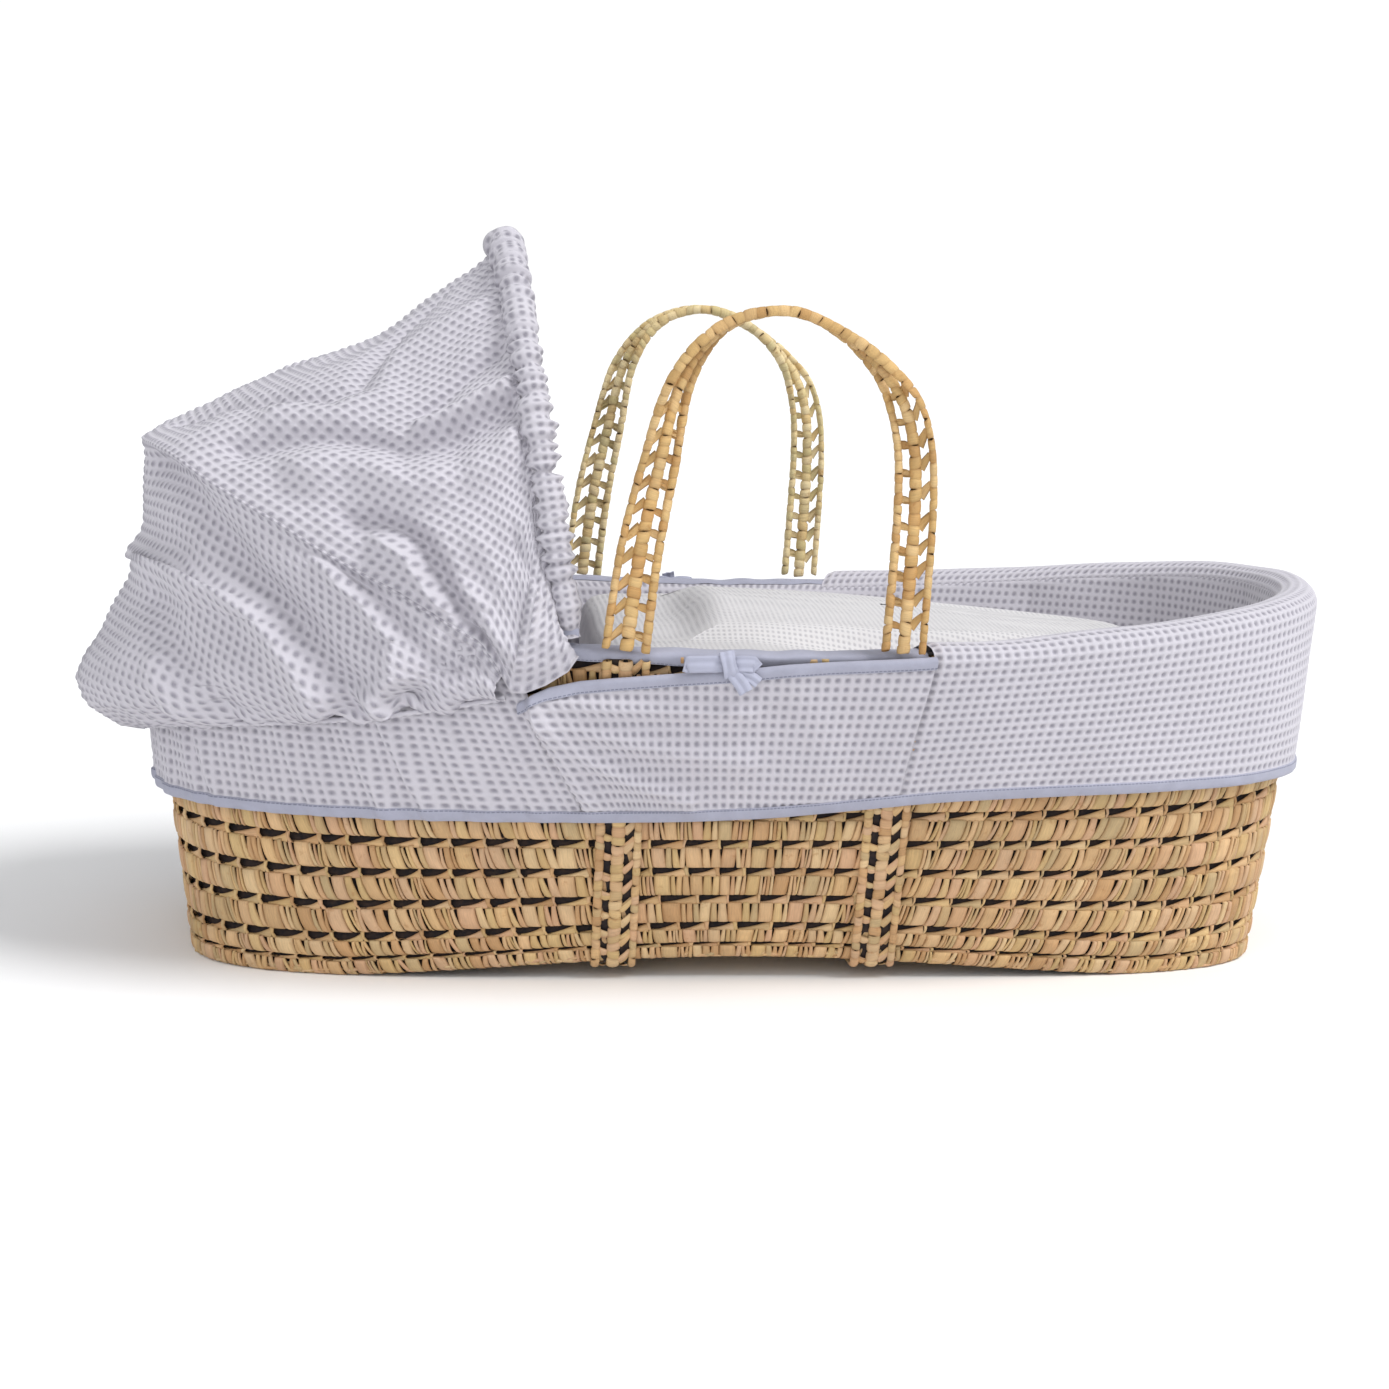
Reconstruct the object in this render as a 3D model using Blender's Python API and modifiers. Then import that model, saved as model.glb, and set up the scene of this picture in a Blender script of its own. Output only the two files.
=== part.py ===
"""Moses basket: a woven oval basket on two carrying straps, with two folding handles, a padded liner and
skirt, a mattress, a tucked-in coverlet and a hood on a hinged hoop.

Metres, +Z up, standing on z = 0. +X is the foot end, -X the head end under the hood, and -Y the front.
Shapes are laid out from the woven basket's middle, level with the underside of its straps. That point is at
x = CENTRE_X, because the hood bulges past the head end, and CENTRE_Z up, because both ends sag below it."""

import bpy
from math import cos, pi, radians, sin, tanh
from mathutils import Vector

# Woven basket
CENTRE_X, CENTRE_Z = 0.0174, 0.0075
RIM_A, RIM_B, RIM_N = 0.420, 0.219, 2.5  # half length, half width and roundness of the outline at the rim
BASE_A, BASE_B, BASE_N = 0.3868, 0.1435, 4.0  # the same at the base
RIM_MID_Z, RIM_RISE = 0.228, 0.030  # rim height at mid length, and how much higher its ends are
BASE_END_Z, BASE_ARCH = -0.0081, 0.0156  # the base is lifted by the straps at mid length and sags at its ends
BASE_FLAT_X = 0.33  # beyond this, the ends lie level on the ground
WALL = 0.009
ROWS = 11
LOW_ROWS = (0.0, 0.054, 0.127)  # where the lowest rows meet, as shares of the wall's height
ROW_GAP = 0.0012
SEGMENTS = 40  # round the outline, a multiple of 4
FLOOR_Z, FLOOR_THICK = 0.0065, 0.005

# Straps and handles
STRAP_X, STRAP_WIDE, STRAP_THICK = 0.090, 0.034, 0.003
STRAP_TOP_Z = 0.2255
HANDLE_Y, HANDLE_PIVOT_Z = 0.2228, 0.2335
HANDLE_THICK, HANDLE_WIDE = 0.008, 0.033
REAR_HANDLE_X = -0.008  # the rear handle stands this far from the front one's place along the basket
HANDLE_PATH = (  # x, z, width as a share of HANDLE_WIDE, twist in degrees, where 90 is flat to the front
    (-0.0910, 0.2325, 1.00, 90),
    (-0.0835, 0.2950, 0.95, 86),
    (-0.0725, 0.3500, 0.88, 70),
    (-0.0590, 0.4050, 0.80, 40),
    (-0.0325, 0.4395, 0.74, 10),
    (0.0065, 0.4500, 0.72, 0),
    (0.0415, 0.4375, 0.74, 0),
    (0.0715, 0.4120, 0.76, 25),
    (0.0885, 0.3800, 0.82, 75),
    (0.0935, 0.3300, 0.90, 90),
    (0.0895, 0.2325, 0.94, 90),
)

# Lining: thickness of each layer and how far it stands off the outer face of the woven wall
LINER_THICK, LINER_OUT = 0.011, -0.0105
SKIRT_THICK, SKIRT_OUT = 0.003, 0.0086
RIM_PAD = 0.0085  # how far the lining stands above the woven rim
HEM_MID_Z, HEM_STEP = 0.122, 0.0108  # the hem is low along the head half and high along the foot half
BINDING_TALL = 0.0085
SLOT_HEAD, SLOT_FOOT = 3, 2  # the handle slots, in outline segments either side of mid length
BOW_X = -0.0235
MATTRESS_Z, MATTRESS_THICK, MATTRESS_INSET = 0.0125, 0.042, 0.0235
COVERLET_HEAD_X, COVERLET_THICK, COVERLET_INSET = -0.1085, 0.012, 0.026

# Hood
HOOP_X, HOOP_Z, HOOP_Y = -0.1275, 0.2485, 0.2075  # where the hoop's ends turn
HOOP_HEIGHT, HOOP_LEAN, HOOP_N = 0.247, radians(9.5), 2.6
HOOP_R, CASING_R, CASING_BORE = 0.003, 0.009, 0.0036
HOOD_OUT, HOOD_THICK = 0.0126, 0.0024
SEAM_SPAN = 7.2  # the hood's half span round the head end, in outline segments
HOOD_TOP_Z, ELASTIC_Z = 0.354, 0.158
HOOD_BULGE = 0.0357


# Outline of the woven wall


def mix(a, b, t):
    return a + (b - a) * t


def rim_z(x):
    return RIM_MID_Z + RIM_RISE * (x / RIM_A) ** 2


def base_z(x):
    return BASE_END_Z + BASE_ARCH * (1 - min(1, abs(x) / BASE_FLAT_X) ** 2)


def row_share(row):
    """Where a row begins, as a share of the wall's height. Above the lowest two, rows are equal."""
    if row < 2:
        return LOW_ROWS[row]
    return mix(LOW_ROWS[2], 1.0, (row - 2) / (ROWS - 2))


def oval(angle, a, b, n):
    r = (abs(cos(angle) / a) ** n + abs(sin(angle) / b) ** n) ** (-1 / n)
    return r * cos(angle), r * sin(angle)


def outline_angles():
    """The polar angles of SEGMENTS equal steps round the rim, from the foot end through the rear."""
    fine = [oval(2 * pi * i / 7200, RIM_A, RIM_B, RIM_N) for i in range(7201)]
    lengths = [0.0]
    for (x0, y0), (x1, y1) in zip(fine, fine[1:]):
        lengths.append(lengths[-1] + ((x1 - x0) ** 2 + (y1 - y0) ** 2) ** 0.5)
    angles = []
    i = 0
    for step in range(SEGMENTS + 1):
        while i < 7199 and lengths[i + 1] < lengths[-1] * step / SEGMENTS:
            i += 1
        part = (lengths[-1] * step / SEGMENTS - lengths[i]) / (lengths[i + 1] - lengths[i])
        angles.append(2 * pi * (i + part) / 7200)
    return angles


ANGLES = outline_angles()


def angle_at(step):
    """The polar angle at a step round the outline, which may be a fraction."""
    whole = int(step // 1)
    turn, first = divmod(whole, SEGMENTS)
    return mix(ANGLES[first], ANGLES[first + 1], step - whole) + 2 * pi * turn


def wall(step, z, out=0.0):
    """A point out from the wall's outer face, at a step round the outline and a height."""
    angle = angle_at(step)
    rim_x = oval(angle, RIM_A, RIM_B, RIM_N)[0]
    t = (z - base_z(rim_x)) / (rim_z(rim_x) - base_z(rim_x))
    a, b = mix(BASE_A, RIM_A, t) + out, mix(BASE_B, RIM_B, t) + out
    x, y = oval(angle, a, b, mix(BASE_N, RIM_N, min(1.0, max(0.0, t))))
    return Vector((x, y, z))


def wall_y(x, z, out=0.0):
    """The front-to-back half width of the wall's outer face at an x and a height."""
    t = (z - base_z(x)) / (rim_z(x) - base_z(x))
    a, b = mix(BASE_A, RIM_A, t) + out, mix(BASE_B, RIM_B, t) + out
    n = mix(BASE_N, RIM_N, min(1.0, max(0.0, t)))
    return b * (1 - (abs(x) / a) ** n) ** (1 / n)


def hem_z(x):
    return HEM_MID_Z + HEM_STEP * tanh((x - 0.0789) / 0.108)


def flap_top_z(x):
    """The flaps' bound top edge: it drops away towards the head end of the slot."""
    return 0.2200 + 0.05 * x - (0.35 * x * x if x < 0 else 0.0)


# Building


def clear_scene():
    for obj in list(bpy.data.objects):
        bpy.data.objects.remove(obj, do_unlink=True)


def material(name, color, roughness, metallic=0.0):
    mat = bpy.data.materials.new(name)
    mat.use_nodes = True
    shader = mat.node_tree.nodes["Principled BSDF"]
    shader.inputs["Base Color"].default_value = (*color, 1.0)
    shader.inputs["Roughness"].default_value = roughness
    shader.inputs["Metallic"].default_value = metallic
    mat.diffuse_color = (*color, 1.0)
    return mat


def add(name, data, mat, at=(0.0, 0.0, 0.0)):
    obj = bpy.data.objects.new(name, data)
    obj.location = at
    obj.parent = ROOT
    data.materials.append(mat)
    PARTS.objects.link(obj)
    return obj


def grid(name, rows, mat, thickness, offset=-1.0, closed=False):
    """An open surface through rows of points, thickened to a shell. Its front is to the left of its rows."""
    rows = [list(row) for row in rows]
    wide = len(rows[0])
    verts = [point for row in rows for point in row]
    faces = []
    for j in range(len(rows) - 1):
        for i in range(wide if closed else wide - 1):
            k = (i + 1) % wide
            faces.append((j * wide + i, j * wide + k, (j + 1) * wide + k, (j + 1) * wide + i))
    mesh = bpy.data.meshes.new(name)
    mesh.from_pydata(verts, [], faces)
    obj = add(name, mesh, mat)
    shell = obj.modifiers.new("thickness", "SOLIDIFY")
    shell.thickness = thickness
    shell.offset = offset
    shell.use_even_offset = True
    return obj


def tube(name, points, radius, mat, closed=False, sides=8, bore=0.0, at=(0.0, 0.0, 0.0)):
    """A round tube along points, solid with filled ends, or open with a bore."""
    curve = bpy.data.curves.new(name, "CURVE")
    curve.dimensions = "3D"
    curve.bevel_depth = radius
    curve.bevel_resolution = (sides - 4) // 2
    curve.use_fill_caps = bore == 0.0
    spline = curve.splines.new("POLY")
    spline.points.add(len(points) - 1)
    for point, where in zip(spline.points, points):
        point.co = (*(Vector(where) - Vector(at)), 1.0)
    spline.use_cyclic_u = closed
    obj = add(name, curve, mat, at)
    if bore:
        shell = obj.modifiers.new("bore", "SOLIDIFY")
        shell.thickness = radius - bore
        shell.offset = -1.0
    return obj


def plate(name, outline, z, thick, mat, edge=0.0):
    """A flat outline, extruded, with rounded edges."""
    curve = bpy.data.curves.new(name, "CURVE")
    curve.dimensions = "2D"
    curve.fill_mode = "BOTH"
    curve.extrude = thick / 2 - edge
    curve.bevel_depth = edge
    curve.bevel_resolution = 1
    curve.offset = -edge
    spline = curve.splines.new("POLY")
    spline.points.add(len(outline) - 1)
    for point, where in zip(spline.points, outline):
        point.co = (where[0], where[1], 0.0, 1.0)
    spline.use_cyclic_u = True
    return add(name, curve, mat, (0.0, 0.0, z + thick / 2))


def steps_between(first, last, gap=0.022):
    """The steps of an open band: its two ends, drawn in by a gap, and each whole step between."""
    inner = [s for s in range(int(first), int(last) + 2) if first + 0.2 < s < last - 0.2]
    return [first + gap, *inner, last - gap]


def make_basket():
    ring = range(SEGMENTS)
    floor = [wall(s, FLOOR_Z, -WALL - 0.0016)[:2] for s in ring]
    plate("woven_floor", floor, FLOOR_Z, FLOOR_THICK, PALM)
    for row in range(ROWS):
        levels = []
        for share, edge in ((row_share(row), ROW_GAP / 2), (row_share(row + 1), -ROW_GAP / 2)):
            points = []
            for s in ring:
                x = wall(s, RIM_MID_Z)[0]
                points.append(wall(s, mix(base_z(x), rim_z(x) - 0.007, share) + edge))
            levels.append(points)
        grid(f"wall_row_{row + 1:02d}", levels, PALM, WALL, closed=True)
    border = []
    for lift, out in ((-0.0058, 0.0), (-0.0004, 0.0)):
        border.append([wall(s, rim_z(wall(s, RIM_MID_Z)[0]) + lift, out) for s in ring])
    grid("rim_border", border, PALM, WALL, closed=True)


def strap_path(x):
    """Down the front wall, under the base and up the rear wall, at one x, on the strap's inner face."""
    levels = [STRAP_TOP_Z, 0.17, 0.11, 0.05, 0.016, 0.0048]
    front = [Vector((x, -wall_y(x, z, 0.0009), z)) for z in levels]
    turn = Vector((x, -wall_y(x, 0.0048) + 0.003, STRAP_THICK))
    half = front + [turn, Vector((x, -0.05, STRAP_THICK))]
    return half + [Vector((p.x, -p.y, p.z)) for p in reversed(half)]


def make_straps():
    for name, side in (("carry_strap_head", -1), ("carry_strap_foot", 1)):
        edges = [side * STRAP_X - STRAP_WIDE / 2, side * STRAP_X + STRAP_WIDE / 2]
        grid(name, [strap_path(x) for x in edges], PALM, STRAP_THICK, offset=1.0)


def make_handle(name, side):
    """One flat strap bent to an arch. Its origin is on the line that it folds about."""
    pivot = Vector((0.0, side * HANDLE_Y, HANDLE_PIVOT_Z))
    shift = REAR_HANDLE_X if side > 0 else 0.0
    curve = bpy.data.curves.new(name, "CURVE")
    curve.dimensions = "3D"
    curve.twist_mode = "Z_UP"
    curve.resolution_u = 3
    curve.extrude = (HANDLE_WIDE - HANDLE_THICK) / 2
    curve.bevel_depth = HANDLE_THICK / 2
    curve.bevel_resolution = 1
    curve.use_fill_caps = True
    spline = curve.splines.new("BEZIER")
    spline.bezier_points.add(len(HANDLE_PATH) - 1)
    for point, (x, z, wide, twist) in zip(spline.bezier_points, HANDLE_PATH):
        point.co = Vector((x + shift, side * HANDLE_Y, z)) - pivot
        point.handle_left_type = point.handle_right_type = "AUTO"
        point.radius = wide
        point.tilt = radians(twist - 90)
    return add(name, curve, PALM_PALE if side > 0 else PALM, pivot)


def make_lining():
    ring = range(SEGMENTS)

    def level(steps, z_of, out):
        points = []
        for s in steps:
            x = wall(s, RIM_MID_Z)[0]
            points.append(wall(s, z_of(x), out))
        return points

    liner = [level(ring, lambda x: 0.0135, LINER_OUT - 0.001)]
    liner.append(level(ring, lambda x: 0.12, LINER_OUT))
    liner.append(level(ring, lambda x: rim_z(x) + 0.0005, LINER_OUT))
    grid("liner_wall", liner, FABRIC, LINER_THICK, closed=True)

    hem = [level(ring, lambda x, up=up: hem_z(x) + up, SKIRT_OUT + 0.0004) for up in (0.0, BINDING_TALL)]
    grid("hem_binding", hem, BINDING, SKIRT_THICK + 0.0008, closed=True)

    quarter = SEGMENTS // 4
    rear_foot, rear_head = quarter - SLOT_FOOT, quarter + SLOT_HEAD
    front_head, front_foot = 3 * quarter - SLOT_HEAD, 3 * quarter + SLOT_FOOT
    over_rim = (
        (lambda x: hem_z(x) + BINDING_TALL + 0.0004, SKIRT_OUT),
        (lambda x: rim_z(x) - 0.004, SKIRT_OUT),
        (lambda x: rim_z(x) + 0.005, SKIRT_OUT - 0.001),
        (lambda x: rim_z(x) + RIM_PAD, SKIRT_OUT - 0.008),
        (lambda x: rim_z(x) + RIM_PAD - 0.001, LINER_OUT - LINER_THICK + 0.002),
    )
    for name, first, last in (
        ("skirt_head", rear_head, front_head),
        ("skirt_foot", front_foot, rear_foot + SEGMENTS),
    ):
        steps = steps_between(first, last)
        grid(name, [level(steps, z_of, out) for z_of, out in over_rim], FABRIC, SKIRT_THICK)
    for name, first, last in (("rear", rear_foot, rear_head), ("front", front_head, front_foot)):
        steps = steps_between(first, last)
        flap = [
            level(steps, lambda x: hem_z(x) + BINDING_TALL + 0.0004, SKIRT_OUT),
            level(steps, lambda x: flap_top_z(x) - 0.0060, SKIRT_OUT),
        ]
        grid(f"skirt_flap_{name}", flap, FABRIC, SKIRT_THICK)
        edge = [level(steps, lambda x, z=z: flap_top_z(x) + z, SKIRT_OUT + 0.0003) for z in (-0.0056, 0.0)]
        grid(f"slot_binding_{name}", edge, BINDING, SKIRT_THICK + 0.0004)
        inner = [
            level(steps, lambda x, z=z: rim_z(x) + z, LINER_OUT - 0.0035) for z in (0.0026, 0.0072)
        ]
        grid(f"liner_binding_{name}", inner, BINDING, 0.0035)


def make_bow(name, side):
    """Two flat loops, a knot between them and two short tails, as one outline facing outwards."""
    outline = (
        (-0.0220, 0.0020), (-0.0180, 0.0055), (-0.0050, 0.0045), (0.0050, 0.0045), (0.0130, 0.0055),
        (0.0155, 0.0020), (0.0130, -0.0030), (0.0200, -0.0140), (0.0140, -0.0165), (0.0050, -0.0050),
        (-0.0050, -0.0045), (-0.0190, -0.0035),
    )
    curve = bpy.data.curves.new(name, "CURVE")
    curve.dimensions = "2D"
    curve.fill_mode = "BOTH"
    curve.extrude = 0.0025
    spline = curve.splines.new("POLY")
    spline.points.add(len(outline) - 1)
    for point, (x, z) in zip(spline.points, outline):
        point.co = (x, z, 0.0, 1.0)
    spline.use_cyclic_u = True
    y = side * (wall_y(BOW_X, 0.222, SKIRT_OUT) + 0.0038)
    bow = add(name, curve, BINDING, (BOW_X, y, 0.2235))
    bow.rotation_euler = (pi / 2, 0.0, 0.0)
    return bow


def make_bedding():
    ring = range(SEGMENTS)
    bed = [wall(s, MATTRESS_Z + MATTRESS_THICK / 2, -MATTRESS_INSET - 0.0055)[:2] for s in ring]
    plate("mattress", bed, MATTRESS_Z, MATTRESS_THICK, MATTRESS, edge=0.006)

    def top_z(x):
        return 0.2440 - 0.028 * max(0.0, (x - 0.0) / 0.35) ** 1.2

    def side(step, z, inset):
        """A point on the coverlet's side, which follows the liner."""
        point = wall(step, z, -COVERLET_INSET - inset)
        return Vector((max(point.x, COVERLET_HEAD_X + inset + 0.006), point.y, z))

    low = MATTRESS_Z + MATTRESS_THICK + 0.0006
    steps = [s % SEGMENTS for s in range(28, 53)]
    rows = []
    for z_of, inset in (
        (lambda x: low, 0.0),
        (lambda x: 0.13, 0.0),
        (lambda x: top_z(x) - 0.034, 0.0005),
        (lambda x: top_z(x) - 0.012, 0.010),
        (lambda x: top_z(x) - 0.003, 0.045),
    ):
        row = [side(s, z_of(wall(s, 0.2)[0]), inset) for s in steps]
        for share in (0.97, 0.0, -0.97):
            row.append(Vector((COVERLET_HEAD_X + inset, row[len(steps) - 1].y * share, z_of(0.0))))
        rows.append(row)
    crown = [Vector((p.x * 0.86 + 0.015, p.y * 0.06, top_z(p.x))) for p in rows[-1]]
    rows.append(crown)
    coverlet = grid("coverlet", rows, COVER, COVERLET_THICK, closed=True)
    wide = len(rows[0])
    mesh = coverlet.data
    verts = [v.co.copy() for v in mesh.vertices]
    faces = [tuple(p.vertices) for p in mesh.polygons]
    last = len(verts) - wide
    half = (len(steps) - 1) // 2
    for i in range(half):
        a, b = last + i, last + i + 1
        c, d = last + len(steps) - 2 - i, last + len(steps) - 1 - i
        faces.append((a, b, c, d) if b != c else (a, b, d))
    faces.append((last, *(last + len(steps) - 1 + k for k in range(4))))
    mesh.clear_geometry()
    mesh.from_pydata(verts, [], faces)


def hoop_point(turn):
    """A point on the hoop's centre line: turn runs from -1 at the front end through 0 at the top to 1."""
    angle = turn * pi / 2
    y = HOOP_Y * (1 if turn > 0 else -1) * abs(sin(angle)) ** (2 / HOOP_N)
    up = HOOP_HEIGHT * abs(cos(angle)) ** (2 / HOOP_N)
    return Vector((HOOP_X - up * sin(HOOP_LEAN), y, HOOP_Z + up * cos(HOOP_LEAN)))


def head_step(turn):
    """The step round the outline that a turn of the hood meets: 1 is the rear, 0 the head end."""
    return SEGMENTS / 2 - turn * SEAM_SPAN


def elastic_point(turn, up=0.0, out=0.0):
    t = abs(turn)
    z = ELASTIC_Z + 0.030 * t**1.2 + 0.034 * t**10
    return wall(head_step(turn), z + up, HOOD_OUT + out)


def seam_point(turn):
    t = abs(turn)
    z = mix(HOOD_TOP_Z, 0.232, min(1.0, 0.62 * t**1.15 + 0.38 * t**7))
    return wall(head_step(turn), z, mix(-0.006, HOOD_OUT, t**4) - 0.115 * (z - RIM_MID_Z) * (1 - t**4))


def make_hood():
    turns = [i / 12 for i in range(-12, 13)]
    tilt = Vector((-sin(HOOP_LEAN), 0.0, cos(HOOP_LEAN)))
    pivot = Vector((HOOP_X, 0.0, HOOP_Z))
    hoop = [hoop_point(t) for t in turns]
    tube("hood_hoop", hoop, HOOP_R, HOOP, sides=6, at=pivot)
    ends = [hoop[0] + tilt * 0.010, *hoop[1:-1], hoop[-1] + tilt * 0.010]
    ends = [p for p in ends if (p - pivot).dot(tilt) > 0.0095]
    tube("hood_casing", ends, CASING_R, FABRIC, sides=8, bore=CASING_BORE, at=pivot)

    turns = [i / 11 * 0.90 for i in range(-11, 12)]
    seam = [seam_point(t) for t in turns]
    tube("hood_seam_piping", seam, 0.0016, FABRIC, sides=6)
    elastic = [elastic_point(t, 0.0, -0.0002) for t in turns]
    tube("hood_elastic_hem", elastic, 0.0022, FABRIC, sides=6)

    top = []
    back_way = Vector((-cos(HOOP_LEAN), 0.0, -sin(HOOP_LEAN)))
    for share in (0.0, 0.25, 0.5, 0.75, 1.0):
        row = []
        for t in turns:
            start = hoop_point(t) + back_way * (CASING_R + 0.0018)
            sag = 0.026 * (4 * share * (1 - share)) * (1 - abs(t) ** 3)
            end = seam_point(t)
            point = start.lerp(end + (start - end).normalized() * 0.0036, share)
            bow_out = 0.006 * (4 * share * (1 - share)) * abs(t) ** 3
            side = 1 if t > 0 else -1
            row.append(point + Vector((0.0, side * bow_out, -sag)))
        top.append(row)
    grid("hood_top_panel", top[::-1], FABRIC, HOOD_THICK, offset=0.0)

    back = []
    for share in (0.0, 0.14, 0.32, 0.52, 0.75, 1.0):
        row = []
        for t in turns:
            low, high = elastic_point(t, 0.0034), seam_point(t)
            high += (low - high).normalized() * 0.0036
            puff = HOOD_BULGE * max(0.0, sin(pi * min(1.0, share / 0.5))) ** 0.8 * (1 - abs(t) ** 2.5)
            z = mix(low.z, high.z, share)
            clear = HOOD_OUT if z < RIM_MID_Z + 0.05 else None
            outward = mix(low, high, share)
            if clear is not None:
                edge = wall(head_step(t), z, HOOD_OUT)
                outward = Vector((edge.x, edge.y, z))
            flat = Vector((outward.x, outward.y, 0.0)).normalized()
            row.append(outward + flat * puff)
        back.append(row)
    grid("hood_back_panel", back, FABRIC, HOOD_THICK, offset=-1.0)

    for name, side in (("hoop_pocket_front", -1), ("hoop_pocket_rear", 1)):
        z = rim_z(HOOP_X) + RIM_PAD + 0.0007
        outline = ((-0.007, -0.005), (0.007, -0.005), (0.007, 0.005), (-0.007, 0.005))
        outline = [(HOOP_X + x, side * HOOP_Y + y) for x, y in outline]
        plate(name, outline, z, HOOP_Z - HOOP_R - 0.0008 - z, BINDING)


clear_scene()
PARTS = bpy.data.collections.new("moses_basket")
bpy.context.scene.collection.children.link(PARTS)
ROOT = bpy.data.objects.new("moses_basket_frame", None)
ROOT.location = (CENTRE_X, 0.0, CENTRE_Z)
PARTS.objects.link(ROOT)
PALM = material("palm leaf", (0.60, 0.42, 0.22), 0.75)
PALM_PALE = material("pale palm leaf", (0.66, 0.55, 0.30), 0.75)
FABRIC = material("waffle cotton", (0.56, 0.55, 0.62), 0.9)
COVER = material("coverlet cotton", (0.66, 0.65, 0.68), 0.9)
BINDING = material("binding tape", (0.44, 0.47, 0.60), 0.85)
MATTRESS = material("mattress cotton", (0.85, 0.84, 0.82), 0.9)
HOOP = material("hoop plastic", (0.80, 0.80, 0.80), 0.5)
make_basket()
make_straps()
make_handle("handle_front", -1)
make_handle("handle_rear", 1)
make_lining()
make_bow("bow_front", -1)
make_bow("bow_rear", 1)
make_bedding()
make_hood()
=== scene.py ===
"""The looks of a Moses basket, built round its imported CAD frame.

Lengths are in metres. Shapes are worked out in the basket's own frame, whose origin is under its middle,
level with its straps' underside, and make_mesh moves them to the CAD frame. +X is the foot end and -Y the
front."""

from math import cos, pi, radians, sin

import bpy
import numpy as np
from mathutils import Matrix, Vector


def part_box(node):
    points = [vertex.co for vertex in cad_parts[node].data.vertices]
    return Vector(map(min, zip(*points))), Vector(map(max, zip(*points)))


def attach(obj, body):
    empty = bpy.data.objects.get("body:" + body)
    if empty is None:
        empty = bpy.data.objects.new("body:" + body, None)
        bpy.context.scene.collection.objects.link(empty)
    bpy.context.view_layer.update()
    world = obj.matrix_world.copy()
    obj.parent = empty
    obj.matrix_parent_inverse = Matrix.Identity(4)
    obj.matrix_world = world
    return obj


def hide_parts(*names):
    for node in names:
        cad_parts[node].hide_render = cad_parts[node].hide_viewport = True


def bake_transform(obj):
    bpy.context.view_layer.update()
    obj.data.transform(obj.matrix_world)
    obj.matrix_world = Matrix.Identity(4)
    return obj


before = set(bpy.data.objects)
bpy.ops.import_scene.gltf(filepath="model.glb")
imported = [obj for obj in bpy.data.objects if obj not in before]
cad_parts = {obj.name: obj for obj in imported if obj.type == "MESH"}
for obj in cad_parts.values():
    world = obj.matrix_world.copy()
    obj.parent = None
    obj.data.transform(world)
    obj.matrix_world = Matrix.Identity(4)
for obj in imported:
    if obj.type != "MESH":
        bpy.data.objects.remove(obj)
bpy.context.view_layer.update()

# The basket's middle, level with its straps' underside
CENTRE_X = (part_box("woven_floor")[0].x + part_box("woven_floor")[1].x) / 2
CENTRE_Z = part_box("carry_strap_head")[0].z

# The woven wall, as in the CAD
RIM_A, RIM_B, RIM_N = 0.420, 0.219, 2.5
BASE_A, BASE_B, BASE_N = 0.3868, 0.1435, 4.0
RIM_MID_Z, RIM_RISE = 0.228, 0.030
BASE_END_Z, BASE_ARCH, BASE_FLAT_X = -0.0075, 0.0156, 0.33
ROWS, SEGMENTS = 11, 40
LOW_ROWS = (0.0, 0.054, 0.127)
SLOT = {"front": (27, 32), "rear": (8, 13)}  # the handle slots, in steps round the outline
STEP = 0.0532  # length of one step along the rim

# Lining and hood, as in the CAD
SKIRT_OUT, HOOD_OUT = 0.0086, 0.0126
LINER_IN, LINER_OUT = -0.0215, -0.0105
BINDING_TALL = 0.0085
HOOP_X, HOOP_Y, HOOP_Z = -0.1275, 0.2075, 0.2485
HOOP_HEIGHT, HOOP_LEAN, HOOP_N = 0.247, radians(9.5), 2.6
HOOP_AHEAD = np.array((0.986, 0.0, 0.165))  # square to the hoop, towards the foot end
HANDLE_Y = 0.2228
HANDLE_PATH = np.array(
    (  # x, z, width share, twist in degrees, where 90 is flat to the front
        (-0.0910, 0.2325, 1.00, 90),
        (-0.0835, 0.2950, 0.95, 86),
        (-0.0725, 0.3500, 0.88, 70),
        (-0.0590, 0.4050, 0.80, 40),
        (-0.0325, 0.4395, 0.74, 10),
        (0.0065, 0.4500, 0.72, 0),
        (0.0415, 0.4375, 0.74, 0),
        (0.0715, 0.4120, 0.76, 25),
        (0.0885, 0.3800, 0.82, 75),
        (0.0935, 0.3300, 0.90, 90),
        (0.0895, 0.2325, 0.94, 90),
    )
)
REAR_HANDLE_X = -0.008
WAFFLE = 0.0064


# Camera


def make_camera():
    turn, pitch, roll = radians(-5.5), radians(9.088), radians(1.434)
    ahead = Vector((-sin(turn), cos(turn), 0.0))
    right = Vector((cos(turn), sin(turn), 0.0))
    forward = ahead * cos(pitch) - Vector((0, 0, sin(pitch)))
    up = right.cross(forward)
    rolled = right * cos(roll) + up * sin(roll)
    top = up * cos(roll) - right * sin(roll)
    data = bpy.data.cameras.new("camera")
    data.sensor_width, data.lens = 36.0, 62.04
    data.clip_end = 100
    cam = bpy.data.objects.new("camera", data)
    where = -ahead * 1.7498 + Vector((CENTRE_X, 0, CENTRE_Z + 0.4482)) - right * 0.0244
    axes = Matrix((rolled, top, -forward)).transposed()
    cam.matrix_world = Matrix.Translation(where) @ axes.to_4x4()
    bpy.context.scene.collection.objects.link(cam)
    bpy.context.scene.camera = cam


# Outline of the wall


UPWARD = np.array((0.0, 0.0, 1.0))


def mix(a, b, t):
    return a + (b - a) * t


def smooth(low, high, x):
    t = np.clip((x - low) / (high - low), 0.0, 1.0)
    return t * t * (3 - 2 * t)


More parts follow.
